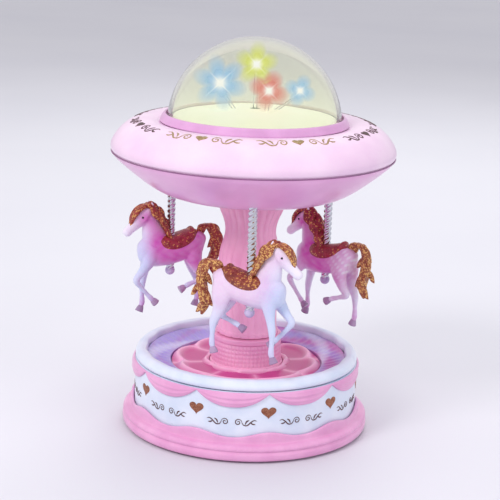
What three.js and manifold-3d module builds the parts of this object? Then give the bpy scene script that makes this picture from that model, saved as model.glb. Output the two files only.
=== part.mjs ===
// A battery carousel music box: a round base with a clockwork-style gear train, a fixed column,
// and a turning canopy that carries three horses on poles under a clear lamp dome.
// Millimetres, +Z up. The origin is on the table, under the middle of the base.
// Azimuths are counted from the front (-Y) towards +X.
import * as THREE from 'three';
import { mergeVertices } from 'three/addons/utils/BufferGeometryUtils.js';
import Module from 'manifold-3d';

const wasm = await Module();
wasm.setup();

// ---------------------------------------------------------------- driving dimensions
const GAP = 0.3; // air between pieces that touch
const ROUND = 32; // facets round the large rings
const WAVY = 40; // facets round rings with a repeating pattern
const SMALL = 12; // facets round pins and poles

const FOOT_R = 67; // foot ring
const DRUM_R = 60.5; // white band of the base
const DRUM_INNER_R = 58.3;
const DRUM_TOP = 36.2;
const PATTERNS = 10; // swags and hearts round the base
const FIRST_HEART = 12; // azimuth of the first heart, degrees
const DECK_Z = 32.8; // stage floor under the column
const COLUMN_BORE = 6;
const CAPITAL_Z = 125.5; // top of the column

const CANOPY_R = 75.5;
const CANOPY_SEAM_Z = 149.6;
const COLLAR_R = 49.8;
const COLLAR_FLOOR_Z = 167.6;
const DOME_R = 46.2;
const DOME_CENTRE_Z = 164.5;
const DOME_WALL = 1.4;

const POLE_CIRCLE = 50; // radius on which the poles hang
const POLE_R = 2.1;
const POLE_TOP = 138.8;
const BELLY_Z = 77;
const HORSES = [ // azimuth of the pole, heading of the horse from +X, and its height over the mean
  { azimuth: 1, heading: -26, lift: 0 },
  { azimuth: 122, heading: 139, lift: -1.5 },
  { azimuth: -118, heading: 208, lift: 1.5 },
];

const COVER_Z = 2.3; // underside of the bottom cover
const COVER_THICK = 2;
const CHASSIS_Z = 20.9; // underside of the plate that carries the gears
const CHASSIS_THICK = 1.5;
const BOSS_R = 51; // circle of the three cover screws
const BOSS_AZIMUTHS = [15, 105, 255];
const CELL_R = 7.25; // AA cell
const CELL_LENGTH = 50.5;
const CELL_Z = 11.5;
const CELL_PITCH = 14.8;
const CELL_MID_Y = 22.8;
const DOOR_HALF = 26.7; // half the battery door's length
const DOOR_BACK = 44.3;
const DOOR_FRONT = 1.3;
const DOOR_SCREW_Y = -4.8;
const SWITCH_MID = [-7, -48];
const SPEAKER_MID = [21, -23];
const SPEAKER_R = 15;

const MODULE = 1; // gear tooth size
const WHEEL_TEETH = 28;
const PINION_TEETH = 8;
const OUTPUT_TEETH = 36;
const GEAR_THICK = 1.8;
const LAYER = [22.8, 25, 27.2]; // undersides of the three gear layers
const TUBE_R = 4.5; // drive tube
const TUBE_BORE = 3.25;
const MAST_R = 2.6;

// ---------------------------------------------------------------- finishes
function finish(color, roughness, metalness = 0, extra = {}) {
  return new THREE.MeshStandardMaterial({ color, roughness, metalness, ...extra });
}
const footPink = finish('#d79ac0', 0.35);
const whitePearl = finish('#ccd4e4', 0.35);
const deckLavender = finish('#a99ac9', 0.35);
const petalMagenta = finish('#c7649a', 0.35);
const columnPink = finish('#d98fb8', 0.4);
const canopyPink = finish('#dcb6d6', 0.3);
const canopyMauve = finish('#c08abf', 0.35);
const clearPlastic = finish('#e8f0d8', 0.05, 0, { transparent: true, opacity: 0.3 });
const chrome = finish('#c9cdd6', 0.15, 1);
const steel = finish('#9a9da3', 0.35, 1);
const brass = finish('#c8a45a', 0.3, 1);
const horsePearl = finish('#d5d3ea', 0.4);
const whiteAbs = finish('#e6e4e0', 0.5);
const gearNylon = finish('#efe9d8', 0.45);
const blackPlastic = finish('#2a2a2d', 0.5);
const rubber = finish('#4b4a4d', 0.9);
const boardGreen = finish('#2f6b45', 0.5);
const cellBlue = finish('#3d5f9c', 0.4);
const paperCone = finish('#3a3532', 0.9);
const blueLamp = finish('#58a8e8', 0.1, 0, { transparent: true, opacity: 0.8 });
const yellowLamp = finish('#d8d828', 0.1, 0, { transparent: true, opacity: 0.8 });
const redLamp = finish('#e8402a', 0.1, 0, { transparent: true, opacity: 0.8 });

// ---------------------------------------------------------------- solids
// Turns a closed three.js geometry into a solid whose faces point outwards.
function solid(geometry) {
  const bare = geometry.clone();
  bare.deleteAttribute('normal');
  bare.deleteAttribute('uv');
  const merged = mergeVertices(bare, 1e-4);
  const corners = merged.index.array;
  const spots = merged.attributes.position.array;
  const kept = [];
  let volume = 0;
  const [a, b, c] = [new THREE.Vector3(), new THREE.Vector3(), new THREE.Vector3()];
  for (let i = 0; i < corners.length; i += 3) {
    const [p, q, r] = [corners[i], corners[i + 1], corners[i + 2]];
    if (p === q || q === r || r === p) continue;
    kept.push(p, q, r);
    a.fromArray(spots, 3 * p);
    b.fromArray(spots, 3 * q);
    c.fromArray(spots, 3 * r);
    volume += a.dot(b.cross(c));
  }
  if (volume < 0) {
    for (let i = 0; i < kept.length; i += 3) [kept[i], kept[i + 1]] = [kept[i + 1], kept[i]];
  }
  return new wasm.Manifold(new wasm.Mesh({
    numProp: 3, vertProperties: new Float32Array(spots), triVerts: new Uint32Array(kept),
  }));
}

function geometryOf(body) {
  const mesh = body.getMesh();
  const geometry = new THREE.BufferGeometry();
  const spots = new Float32Array((mesh.vertProperties.length / mesh.numProp) * 3);
  for (let i = 0; i < spots.length / 3; i += 1) {
    for (let k = 0; k < 3; k += 1) spots[3 * i + k] = mesh.vertProperties[i * mesh.numProp + k];
  }
  geometry.setAttribute('position', new THREE.BufferAttribute(spots, 3));
  geometry.setIndex(new THREE.BufferAttribute(new Uint32Array(mesh.triVerts), 1));
  return geometry;
}

const join = (...bodies) => bodies.reduce((all, body) => all.add(body));
const cut = (body, ...tools) => tools.reduce((left, tool) => left.subtract(tool), body);

// A profile of [radius, height] points turned round the Z axis.
function turned(profile, facets = ROUND) {
  const points = profile.map(([r, z]) => new THREE.Vector2(r, z));
  const [first, last] = [points[0], points[points.length - 1]];
  if (!(first.x === 0 && last.x === 0)) points.push(first.clone());
  return new THREE.LatheGeometry(points, facets).rotateX(Math.PI / 2);
}

// The same, with each point moved by change(point, azimuth in degrees).
function turnedWavy(profile, facets, change) {
  const geometry = turned(profile, facets);
  const spots = geometry.attributes.position;
  const point = new THREE.Vector3();
  for (let i = 0; i < spots.count; i += 1) {
    point.fromBufferAttribute(spots, i);
    change(point, THREE.MathUtils.radToDeg(Math.atan2(point.x, -point.y)));
    spots.setXYZ(i, point.x, point.y, point.z);
  }
  return geometry;
}

function ring(inner, outer, low, high, facets = ROUND) {
  return turned([[inner, low], [outer, low], [outer, high], [inner, high]], facets);
}

function rod(radius, low, high, x = 0, y = 0, facets = SMALL) {
  return turned([[0, low], [radius, low], [radius, high], [0, high]], facets).translate(x, y, 0);
}

function block(low, high) {
  const size = high.map((value, k) => value - low[k]);
  const middle = high.map((value, k) => (value + low[k]) / 2);
  return new THREE.BoxGeometry(...size).translate(...middle);
}

// A bar through [x, y, z, half width along Y, half depth] stations, its path near a plane of X and Z.
function limb(stations, sides = 6) {
  const last = stations.length - 1;
  const geometry = new THREE.CylinderGeometry(1, 1, 1, sides, last);
  const spots = geometry.attributes.position;
  const at = (k) => new THREE.Vector3(...stations[k].slice(0, 3));
  const across = new THREE.Vector3(0, 1, 0);
  for (let i = 0; i < spots.count; i += 1) {
    const k = Math.round((0.5 - spots.getY(i)) * last);
    const [width, depth = width] = stations[k].slice(3);
    const along = at(Math.min(k + 1, last)).sub(at(Math.max(k - 1, 0))).normalize();
    const over = along.clone().cross(across).normalize();
    const point = at(k)
      .addScaledVector(across, width * spots.getX(i))
      .addScaledVector(over, depth * spots.getZ(i));
    spots.setXYZ(i, point.x, point.y, point.z);
  }
  return solid(geometry);
}

function onCircle(radius, azimuth) {
  const angle = THREE.MathUtils.degToRad(azimuth);
  return [radius * Math.sin(angle), -radius * Math.cos(angle)];
}

const object = new THREE.Group();
function place(name, shape, material, parent = object) {
  const geometry = shape.isBufferGeometry ? geometryOf(solid(shape)) : geometryOf(shape);
  const mesh = new THREE.Mesh(geometry, material);
  mesh.name = name;
  parent.add(mesh);
  return mesh;
}

// ---------------------------------------------------------------- base shell
// 0 under the middle of a swag, 1 under a heart.
function towardsHeart(azimuth) {
  return 0.5 + 0.5 * Math.cos(THREE.MathUtils.degToRad(PATTERNS * (azimuth - FIRST_HEART)));
}

function makeFootRing() {
  const waveLow = 12;
  const waveHigh = 15.2;
  const profile = [
    [57.2, 1], [66.3, 1], [FOOT_R, 1.8], [FOOT_R, 5.2], [66, 5.9], [66.6, 7], [65, 8.6], [62.3, 9.4],
    [61.9, waveLow], [DRUM_R + GAP, waveLow], [DRUM_R + GAP, 10.6], [57.2, 10.6],
  ];
  return turnedWavy(profile, WAVY, (point, azimuth) => {
    if (point.z > waveLow - 0.1) point.z += (waveHigh - waveLow) * towardsHeart(azimuth);
  });
}

function makeSwagRing() {
  const dip = 28.3; // lowest point of a swag
  const rise = 6.6; // how much higher its ends hang
  const profile = [
    [DRUM_R + GAP, dip], [61.7, dip], [62.3, dip + 1], [62, DRUM_TOP], [DRUM_R + GAP, DRUM_TOP],
  ];
  return turnedWavy(profile, WAVY, (point, azimuth) => {
    const lift = rise * towardsHeart(azimuth) ** 1.5;
    if (point.z < DRUM_TOP - 0.1) point.z = Math.min(point.z + lift, DRUM_TOP - 0.5);
  });
}

place('foot_ring', makeFootRing(), footPink);
place('base_drum', ring(DRUM_INNER_R, DRUM_R, 10.9, DRUM_TOP), whitePearl);
place('swag_ring', makeSwagRing(), footPink);
place('rim_ring', turned([
  [54, 36.5], [60.2, 36.5], [60.6, 38.2], [60.1, 40.5], [57.4, 42.2], [54.8, 41.8], [54, 40.8],
]), whitePearl);
place('deck_tray', turned([
  [5.2, 31.4], [41.8, 31.4], [47.5, 34.2], [57.9, 34.8], [57.9, DRUM_TOP], [53.6, DRUM_TOP],
  [53.6, 38.6], [47.2, 36.2], [41.2, 34.6], [41.2, DECK_Z], [5.2, DECK_Z],
]), deckLavender);
place('deck_rosette', turned([
  [20.4, DECK_Z + GAP], [40.7, DECK_Z + GAP], [40.7, 34.2], [38, 35.4], [24, 34.6], [20.4, 35],
]), petalMagenta);

// ---------------------------------------------------------------- column
place('column_pedestal', turned([
  [COLUMN_BORE, DECK_Z + GAP], [20, DECK_Z + GAP], [20, 35], [18.6, 36], [18, 48], [18.6, 49],
  [18.6, 50.6], [COLUMN_BORE, 50.6],
], 32), columnPink);

// The shaft's pleats are every second edge pulled in a little.
function makeColumnShaft() {
  const facets = 32;
  const profile = [
    [10, 50.9], [16.4, 50.9], [15.6, 55], [15.4, 74], [16.3, 88], [15.2, 98], [13.4, 104.5], [13.2, 109],
    [14.4, 114], [17.4, 120.5], [18.2, 124], [18.2, CAPITAL_Z], [8.5, CAPITAL_Z], [8.5, 104], [10, 102],
  ];
  return turnedWavy(profile, facets, (point, azimuth) => {
    const outside = Math.hypot(point.x, point.y) > 12;
    const groove = Math.round((azimuth + 180) / (360 / facets)) % 2 === 1;
    if (outside && groove) point.multiply(new THREE.Vector3(0.965, 0.965, 1));
  });
}
place('column_shaft', makeColumnShaft(), columnPink);

// ---------------------------------------------------------------- underside
const bosses = BOSS_AZIMUTHS.map((azimuth) => onCircle(BOSS_R, azimuth));

function makeBottomCover() {
  const through = [COVER_Z - 1, COVER_Z + COVER_THICK + 1];
  const [sx, sy] = SWITCH_MID;
  const tools = [
    block([-DOOR_HALF - GAP, DOOR_FRONT - GAP, through[0]], [DOOR_HALF + GAP, DOOR_BACK + GAP, through[1]]),
    block([-4.5, DOOR_SCREW_Y - 4.5, through[0]], [4.5, DOOR_FRONT, through[1]]),
    block([sx - 3.5, sy - 1.7, through[0]], [sx + 3.5, sy + 1.7, through[1]]),
  ];
  for (const row of [-2, -1, 0, 1, 2]) {
    const half = Math.sqrt(12 ** 2 - (5 * row) ** 2);
    const [x, y] = [SPEAKER_MID[0], SPEAKER_MID[1] + 5 * row];
    tools.push(block([x - half, y - 1, through[0]], [x + half, y + 1, through[1]]));
  }
  for (const [x, y] of bosses) {
    tools.push(rod(1.6, through[0], through[1], x, y));
    tools.push(rod(3.2, through[0], COVER_Z + 1, x, y));
  }
  return cut(solid(rod(56.8, COVER_Z, COVER_Z + COVER_THICK, 0, 0, ROUND)), ...tools.map(solid));
}
place('bottom_cover', makeBottomCover(), whiteAbs);

for (const i of [0, 1, 2]) {
  const [x, y] = onCircle(50.4, 180 - 120 * i);
  place(`rubber_foot_${i + 1}`, rod(4.5, 0, COVER_Z - GAP, x, y), rubber);
}

// A screw whose head's lower face is at headZ, with a cross slot, pointing up.
function screw(headR, shankR, headZ, tipZ, x, y) {
  const body = turned([
    [0, headZ], [headR, headZ], [headR, headZ + 0.8], [shankR, headZ + 0.8], [shankR, tipZ - 0.8], [0, tipZ],
  ], SMALL).translate(x, y, 0);
  const slots = [[1.8, 0.35], [0.35, 1.8]].map(([u, v]) => (
    solid(block([x - u, y - v, headZ - 1], [x + u, y + v, headZ + 0.4]))));
  return cut(solid(body), ...slots);
}
bosses.forEach(([x, y], i) => {
  place(`cover_screw_${i + 1}`, screw(2.8, 1.2, COVER_Z + 0.15, 14, x, y), steel);
});

// ---------------------------------------------------------------- battery compartment
const boxHalf = CELL_LENGTH / 2 + 4;
const boxFront = CELL_MID_Y - 24;
const boxBack = CELL_MID_Y + 24;

function makeBatteryBox() {
  const wall = 1.2;
  const floor = COVER_Z + COVER_THICK + GAP;
  const roof = CHASSIS_Z - GAP;
  const shell = cut(
    solid(block([-boxHalf, boxFront, floor], [boxHalf, boxBack, roof])),
    solid(block([-boxHalf + wall, boxFront + wall, floor - 1], [boxHalf - wall, boxBack - wall, roof - 1.5])));
  const boss = solid(rod(3, floor, 12, 0, DOOR_SCREW_Y));
  const web = solid(block([-1.5, DOOR_SCREW_Y + 2, floor], [1.5, boxFront + 0.5, 12]));
  return cut(join(shell, boss, web), solid(rod(1.5, floor - 1, 10, 0, DOOR_SCREW_Y)));
}
place('battery_box', makeBatteryBox(), whiteAbs);

for (const i of [0, 1, 2]) {
  const half = CELL_LENGTH / 2;
  const side = i % 2 === 0 ? 1 : -1;
  const cell = turned([
    [0, -half], [CELL_R - 0.5, -half], [CELL_R, 0.5 - half], [CELL_R, half - 1.5], [6.6, half - 1.1],
    [2.7, half - 1.1], [2.7, half], [0, half],
  ], 12).rotateY(side * Math.PI / 2).translate(0, CELL_MID_Y + CELL_PITCH * (i - 1), CELL_Z);
  place(`battery_${i + 1}`, cell, cellBlue);
}

// A flat contact with one cone-shaped spring bump for each cell.
function contactPlate(side) {
  const back = boxHalf - 1.2 - GAP;
  const face = CELL_LENGTH / 2 + GAP;
  const bumps = [-1, 0, 1].map((k) => {
    const cone = new THREE.CylinderGeometry(1.8, 3, back - 0.3 - face, 8).rotateZ(Math.PI / 2);
    return solid(cone.translate((back - 0.3 + face) / 2, CELL_MID_Y + CELL_PITCH * k, CELL_Z));
  });
  const plate = solid(block([back - 0.6, boxFront + 2, 5.2], [back, boxBack - 2, 17.5]));
  const geometry = geometryOf(join(plate, ...bumps));
  return side > 0 ? geometry : geometry.rotateZ(Math.PI).translate(0, 2 * CELL_MID_Y, 0);
}
place('contact_plate_right', contactPlate(1), steel);
place('contact_plate_left', contactPlate(-1), steel);

// The door swings down about its rear lower edge; its front tab takes the screw.
function makeBatteryDoor() {
  const [low, high] = [COVER_Z + 0.1, COVER_Z + 1.7];
  const plate = solid(block([-DOOR_HALF, DOOR_FRONT, low], [DOOR_HALF, DOOR_BACK, high]));
  const tab = solid(block([-4.2, DOOR_SCREW_Y - 4.2, low], [4.2, DOOR_FRONT + 1, high]));
  const grips = [0, 1, 2].map((k) => (
    solid(block([-8, 8 + 3 * k, low - 1], [8, 9.4 + 3 * k, low + 0.5]))));
  const tools = [solid(rod(1.5, 0, 6, 0, DOOR_SCREW_Y)), solid(rod(3, 0, low + 0.7, 0, DOOR_SCREW_Y))];
  return cut(join(plate, tab), ...grips, ...tools);
}
place('battery_door', makeBatteryDoor(), whiteAbs);
place('battery_door_screw', screw(2.6, 1.1, COVER_Z - 0.1, 9.4, 0, DOOR_SCREW_Y), steel);

// ---------------------------------------------------------------- switch, speaker and board
const [switchX, switchY] = SWITCH_MID;
const switchFloor = COVER_Z + COVER_THICK + GAP;
place('switch_body', cut(
  solid(block([switchX - 8, switchY - 3.8, switchFloor], [switchX + 8, switchY + 3.8, 10.6])),
  solid(block([switchX - 5.5, switchY - 2.2, switchFloor - 1], [switchX + 5.5, switchY + 2.2, 8])),
), blackPlastic);
place('switch_slider', join(
  solid(block([switchX - 5.3, switchY - 1.9, 5], [switchX + 2.3, switchY + 1.9, 7.6])),
  solid(block([switchX - 3, switchY - 1.3, COVER_Z + 0.3], [switchX, switchY + 1.3, 5.4])),
), blackPlastic);

const speakerFloor = COVER_Z + COVER_THICK + GAP;
place('speaker_frame', turned([
  [13.3, speakerFloor], [SPEAKER_R, speakerFloor], [SPEAKER_R, 5.9], [9.2, 10.8], [9.2, 14], [0, 14],
  [0, 10], [7.5, 10], [13.3, 5.7],
], 20).translate(...SPEAKER_MID, 0), steel);
place('speaker_cone', turned([
  [0, 8], [4, 8], [12.8, 4.7], [12.8, 5.3], [4.3, 8.8], [0, 8.8],
], 20).translate(...SPEAKER_MID, 0), paperCone);
place('circuit_board', join(
  solid(block([3, -41, 15.2], [36, -13, 16.6])),
  solid(block([13, -33, 16.2], [23, -23, 18])),
  solid(block([27, -37, 16.2], [31, -33, 19])),
), boardGreen);

// ---------------------------------------------------------------- gear train
// The outline of a spur gear with straight flanks, one tooth centred on angle phase.
function gearShape(teeth, phase, boreR) {
  const pitchR = (MODULE * teeth) / 2;
  const step = (2 * Math.PI) / teeth;
  const tipR = pitchR + 0.85 * MODULE;
  const rootR = pitchR - 1.15 * MODULE;
  const corners = [[-0.29, rootR], [-0.1, tipR], [0.1, tipR], [0.29, rootR]];
  const shape = new THREE.Shape();
  for (let i = 0; i < teeth; i += 1) {
    corners.forEach(([share, radius], k) => {
      const angle = phase + (i + share) * step;
      const point = [radius * Math.cos(angle), radius * Math.sin(angle)];
      if (i + k === 0) shape.moveTo(...point);
      else shape.lineTo(...point);
    });
  }
  if (boreR > 0) shape.holes.push(new THREE.Path().absarc(0, 0, boreR, 0, 2 * Math.PI, true));
  return shape;
}

function gear(teeth, phase, low, high, boreR) {
  const outline = gearShape(teeth, phase, boreR);
  return solid(new THREE.ExtrudeGeometry(outline, {
    depth: high - low, bevelEnabled: false, curveSegments: 6,
  }).translate(0, 0, low));
}

const spot = (from, distance, degrees) => {
  const angle = THREE.MathUtils.degToRad(degrees);
  return [from[0] + distance * Math.cos(angle), from[1] + distance * Math.sin(angle)];
};
const toSecond = 210; // directions from each axle to the next, degrees from +X
const toFirst = 300;
const toMotor = 197;
const wheelStep = (MODULE * (WHEEL_TEETH + PINION_TEETH)) / 2;
const secondAxle = spot([0, 0], (MODULE * (OUTPUT_TEETH + PINION_TEETH)) / 2, toSecond);
const firstAxle = spot(secondAxle, wheelStep, toFirst);
const motorAxle = spot(firstAxle, wheelStep, toMotor);

// A wheel has a tooth on the line to the next axle, so the pinion there has a gap on it.
const toothOn = (degrees) => THREE.MathUtils.degToRad(degrees);
const gapOn = (degrees) => THREE.MathUtils.degToRad(degrees + 180) + Math.PI / PINION_TEETH;
const axleBore = 1.25;

place('output_gear', join(
  gear(OUTPUT_TEETH, toothOn(toSecond), LAYER[2], LAYER[2] + GEAR_THICK, TUBE_R + 0.2),
  solid(ring(TUBE_R + 0.2, 7.5, LAYER[2] + 0.5, 30.6, 16)),
), gearNylon);

function compoundGear(wheelLayer, wheelPhase, pinionPhase) {
  const low = LAYER[wheelLayer];
  return join(
    gear(WHEEL_TEETH, wheelPhase, low, low + GEAR_THICK, axleBore),
    gear(PINION_TEETH, pinionPhase, low + 0.5, LAYER[wheelLayer + 1] + GEAR_THICK, axleBore),
  );
}
place('compound_gear_2', compoundGear(1, toothOn(toFirst), gapOn(toSecond))
  .translate([...secondAxle, 0]), gearNylon);
place('compound_gear_1', compoundGear(0, toothOn(toMotor), gapOn(toFirst))
  .translate([...firstAxle, 0]), gearNylon);
place('motor_pinion', join(
  gear(PINION_TEETH, gapOn(toMotor), LAYER[0], LAYER[0] + GEAR_THICK, 0),
  solid(rod(1, 17, LAYER[0] + 0.5)),
).translate([...motorAxle, 0]), brass);

place('motor', turned([
  [0, 8.1], [11.4, 8.1], [12, 8.8], [12, CHASSIS_Z - GAP], [1.4, CHASSIS_Z - GAP], [1.4, 16], [0, 16],
], 20).translate(...motorAxle, 0), steel);
[firstAxle, secondAxle].forEach(([x, y], i) => {
  place(`gear_pin_${i + 1}`, rod(1, CHASSIS_Z + 0.1, 30.6, x, y), steel);
});

function makeChassisPlate() {
  const plate = solid(rod(57.9, CHASSIS_Z, CHASSIS_Z + CHASSIS_THICK, 0, 0, ROUND));
  const posts = bosses.map(([x, y]) => solid(rod(3.2, 4.6, CHASSIS_Z + 0.5, x, y, 8)));
  const standoffs = [[6, -38], [33, -16]].map(([x, y]) => solid(rod(2, 16.9, CHASSIS_Z + 0.5, x, y, 8)));
  const holes = [
    rod(MAST_R + 0.35, 0, 30), rod(1.8, 0, 30, ...motorAxle, 8),
    rod(1.25, 0, 30, ...firstAxle, 8), rod(1.25, 0, 30, ...secondAxle, 8),
    ...bosses.map(([x, y]) => rod(1.5, 0, 15, x, y, 8)),
  ];
  return cut(join(plate, ...posts, ...standoffs), ...holes.map(solid));
}
place('chassis_plate', makeChassisPlate(), whiteAbs);

// ---------------------------------------------------------------- drive tube and its bearings
const bushFloor = CHASSIS_Z + CHASSIS_THICK + GAP;
place('lower_bush', turned([
  [MAST_R + 0.3, bushFloor], [7, bushFloor], [7, 26.4], [TUBE_R + 0.2, 26.4],
  [TUBE_R + 0.2, bushFloor + 0.8], [MAST_R + 0.3, bushFloor + 0.8],
], 16), brass);
place('upper_bush', ring(TUBE_R + 0.2, 8.2, 116, 123.5, 16), brass);
place('drive_tube', ring(TUBE_BORE, TUBE_R, bushFloor + 1.1, 142, 16), steel);
place('hub_clamp', turned([
  [TUBE_R + 0.2, 128.7], [14, 128.7], [14, 130.7], [8, 131.3], [8, 139.5], [TUBE_R + 0.2, 139.5],
], 16), whiteAbs);

// ---------------------------------------------------------------- canopy and dome
const poles = HORSES.map(({ azimuth }) => onCircle(POLE_CIRCLE, azimuth));

function makeCanopyLower() {
  const shell = turned([
    [4.9, 126], [18, 126.1], [38, 126.8], [47, 128.6], [56, 133.2], [65, 140], [71.5, 145.6],
    [75, 148.8], [75, CANOPY_SEAM_Z], [73, CANOPY_SEAM_Z], [70, 147], [63.6, 141.6], [55, 135.4],
    [46.4, 130.8], [38, 129.1], [18, 128.4], [4.9, 128.4],
  ]);
  return cut(solid(shell), ...poles.map(([x, y]) => solid(rod(POLE_R + GAP, 110, 140, x, y))));
}
place('canopy_lower_shell', makeCanopyLower(), canopyMauve);
place('canopy_upper_shell', turned([
  [73, CANOPY_SEAM_Z + GAP], [75, CANOPY_SEAM_Z + GAP], [CANOPY_R, 152.6], [74.4, 156], [70.8, 160.8],
  [66, 164.6], [60.5, 166.6], [54.5, 166.6], [51, 165.4], [47, 165.3], [47, 163.4], [60, 164.4],
  [65, 162.4], [69.4, 158.8], [72.6, 154.6], [73.4, 152.4],
]), canopyPink);
place('dome_collar', turned([
  [3.4, COLLAR_FLOOR_Z - 1.4], [46, COLLAR_FLOOR_Z - 1.4], [46.4, 165.7], [COLLAR_R, 165.7],
  [COLLAR_R, 170.1], [49.2, 170.6], [47.2, 170.6], [46.9, COLLAR_FLOOR_Z], [3.4, COLLAR_FLOOR_Z],
]), canopyMauve);

// The dome is a thick-walled bowl: its outer skin with a smaller ball taken out.
function makeDomeShell() {
  const steps = 7;
  const base = COLLAR_FLOOR_Z + 0.4 - DOME_CENTRE_Z;
  const cap = (radius, low) => {
    const start = Math.asin(low / radius);
    const points = Array.from({ length: steps + 1 }, (_, k) => {
      const angle = start + ((Math.PI / 2 - start) * k) / steps;
      return [k === steps ? 0 : radius * Math.cos(angle), DOME_CENTRE_Z + radius * Math.sin(angle)];
    });
    return solid(turned([[0, DOME_CENTRE_Z + low], ...points]));
  };
  return cut(cap(DOME_R, base), cap(DOME_R - DOME_WALL, base - 1));
}
place('dome', makeDomeShell(), clearPlastic);

// ---------------------------------------------------------------- lamps
place('led_mast', ring(1.6, MAST_R, CHASSIS_Z + 0.1, 171.2, SMALL), steel);
place('led_board', rod(15, 171.5, 172.9, 0, 0, 20), boardGreen);

// A round lamp standing on two thin leads above the lamp board.
function lamp(root, top, bulbR) {
  const bulb = turned([
    [0, -bulbR], [bulbR, -bulbR], [bulbR, 0.4 * bulbR], [0.72 * bulbR, 1.1 * bulbR], [0, 1.4 * bulbR],
  ], 8).translate(...top);
  const leads = [-0.9, 0.9].map((shift) => limb([
    [root[0] + shift, root[1], root[2], 0.4], [top[0] + shift, top[1], top[2] - 0.6 * bulbR, 0.4],
  ], 5));
  return join(solid(bulb), ...leads);
}
const leadZ = 173.7;
place('led_blue_large', lamp([-11, -4, leadZ], [-18.5, -6, 187], 3), blueLamp);
place('led_yellow', lamp([0, 0, leadZ], [0, -4, 197], 2.5), yellowLamp);
place('led_red', lamp([6, -7, leadZ], [6.8, -8, 184], 2.5), redLamp);
place('led_blue_small', lamp([11, -2, leadZ], [23, -4, 184], 2), blueLamp);

// ---------------------------------------------------------------- horses on their poles
// One horse faces +X with its pole on the Z axis. It trots: the two left legs are lifted.
function makeHorse() {
  const body = limb([
    [-20, 0, 90, 2.4], [-17, 0, 90, 6, 6.6], [-9, 0, 88, 7.4, 8.4], [2, 0, 86.6, 7.2, 9],
    [11, 0, 87.6, 6.8, 9.4], [17, 0, 88, 5, 6.6], [19.6, 0, 88, 2],
  ], 10);
  const neck = limb([[8, 0, 91, 6, 7], [12.4, 0, 102, 3.8, 5.6], [15, 0, 111, 2.6, 3]], 8);
  const head = limb([[12, 0, 109.6, 2.4], [16, 0, 107.6, 3.4, 4], [24, 0, 102, 2.6, 3], [28, 0, 98.6, 1.8]]);
  const mane = limb([[3.4, 0, 97, 1.4], [6.4, 0, 105, 2], [12, 0, 112, 2.2], [18, 0, 109.4, 1]]);
  const saddle = limb([[-12, 0, 97, 1.2, 1], [-8, 0, 95.6, 6, 2.6], [3, 0, 94.6, 6, 2.4], [8, 0, 95.6, 1.4, 1]]);
  const tail = limb([
    [-16, 0, 95, 1.8], [-22.4, 0, 99, 2.6], [-27, 0, 93, 3], [-27, 0, 82, 3], [-26.4, 0, 71.6, 0.8],
  ]);
  const straightFore = limb([
    [12, -4, 87, 3.6], [14, -4, 76, 2.8], [15.2, -4, 68, 1.9], [14.8, -4, 57, 1.3], [16.4, -4, 52.6, 2.2],
  ]);
  const liftedFore = limb([
    [12, 4, 87, 3.6], [17.6, 4, 78, 2.8], [22, 4, 72.6, 1.9], [13.6, 4, 62.4, 1.3], [10.6, 4, 58.8, 2.2],
  ]);
  const straightHind = limb([
    [-12, -4, 89, 4.6], [-14.6, -4, 79, 3.6], [-18, -4, 69, 2], [-19, -4, 57, 1.4], [-18.6, -4, 52.6, 2.2],
  ]);
  const liftedHind = limb([
    [-12, 4, 89, 4.6], [-14, 4, 80, 3.6], [-18.6, 4, 71.6, 2], [-8.4, 4, 66.8, 1.3], [-4, 4, 65, 2.2],
  ]);
  const legs = join(straightFore, liftedFore, straightHind, liftedHind);
  const whole = join(body, neck, head, mane, saddle, tail, legs);
  return cut(whole, solid(rod(POLE_R + GAP, 70, 125, 0, 0, 8)), solid(rod(4, 60, BELLY_Z + 0.6, 0, 0, 8)));
}

const horseBody = makeHorse();
HORSES.forEach(({ azimuth, heading, lift }, i) => {
  const [x, y] = onCircle(POLE_CIRCLE, azimuth);
  const stand = new THREE.Group();
  stand.position.set(x, y, 0);
  object.add(stand);
  const horse = place(`horse_${i + 1}`, horseBody, horsePearl, stand);
  horse.position.z = lift;
  horse.rotation.z = THREE.MathUtils.degToRad(heading);
  place(`pole_${i + 1}`, turned([
    [0, 72.4 + lift], [2.2, 72.8 + lift], [3.2, 74.6 + lift], [POLE_R, BELLY_Z - 0.2 + lift],
    [POLE_R, POLE_TOP], [0, POLE_TOP],
  ], SMALL), chrome, stand);
  place(`pole_cap_${i + 1}`, ring(POLE_R + 0.2, 4, POLE_TOP - 3.4, POLE_TOP - 0.4, SMALL), brass, stand);
});

export default object;
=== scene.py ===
# %% [markdown]
# # A carousel music box
# The toy is a moulded plastic base and column, a turning canopy that carries three horses on twisted
# poles, and a clear dome with coloured lamps. The CAD frame gives every place and size. This lesson
# makes the surfaces that the eye sees, each as a numpy surface, and a procedural finish for each.

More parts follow.
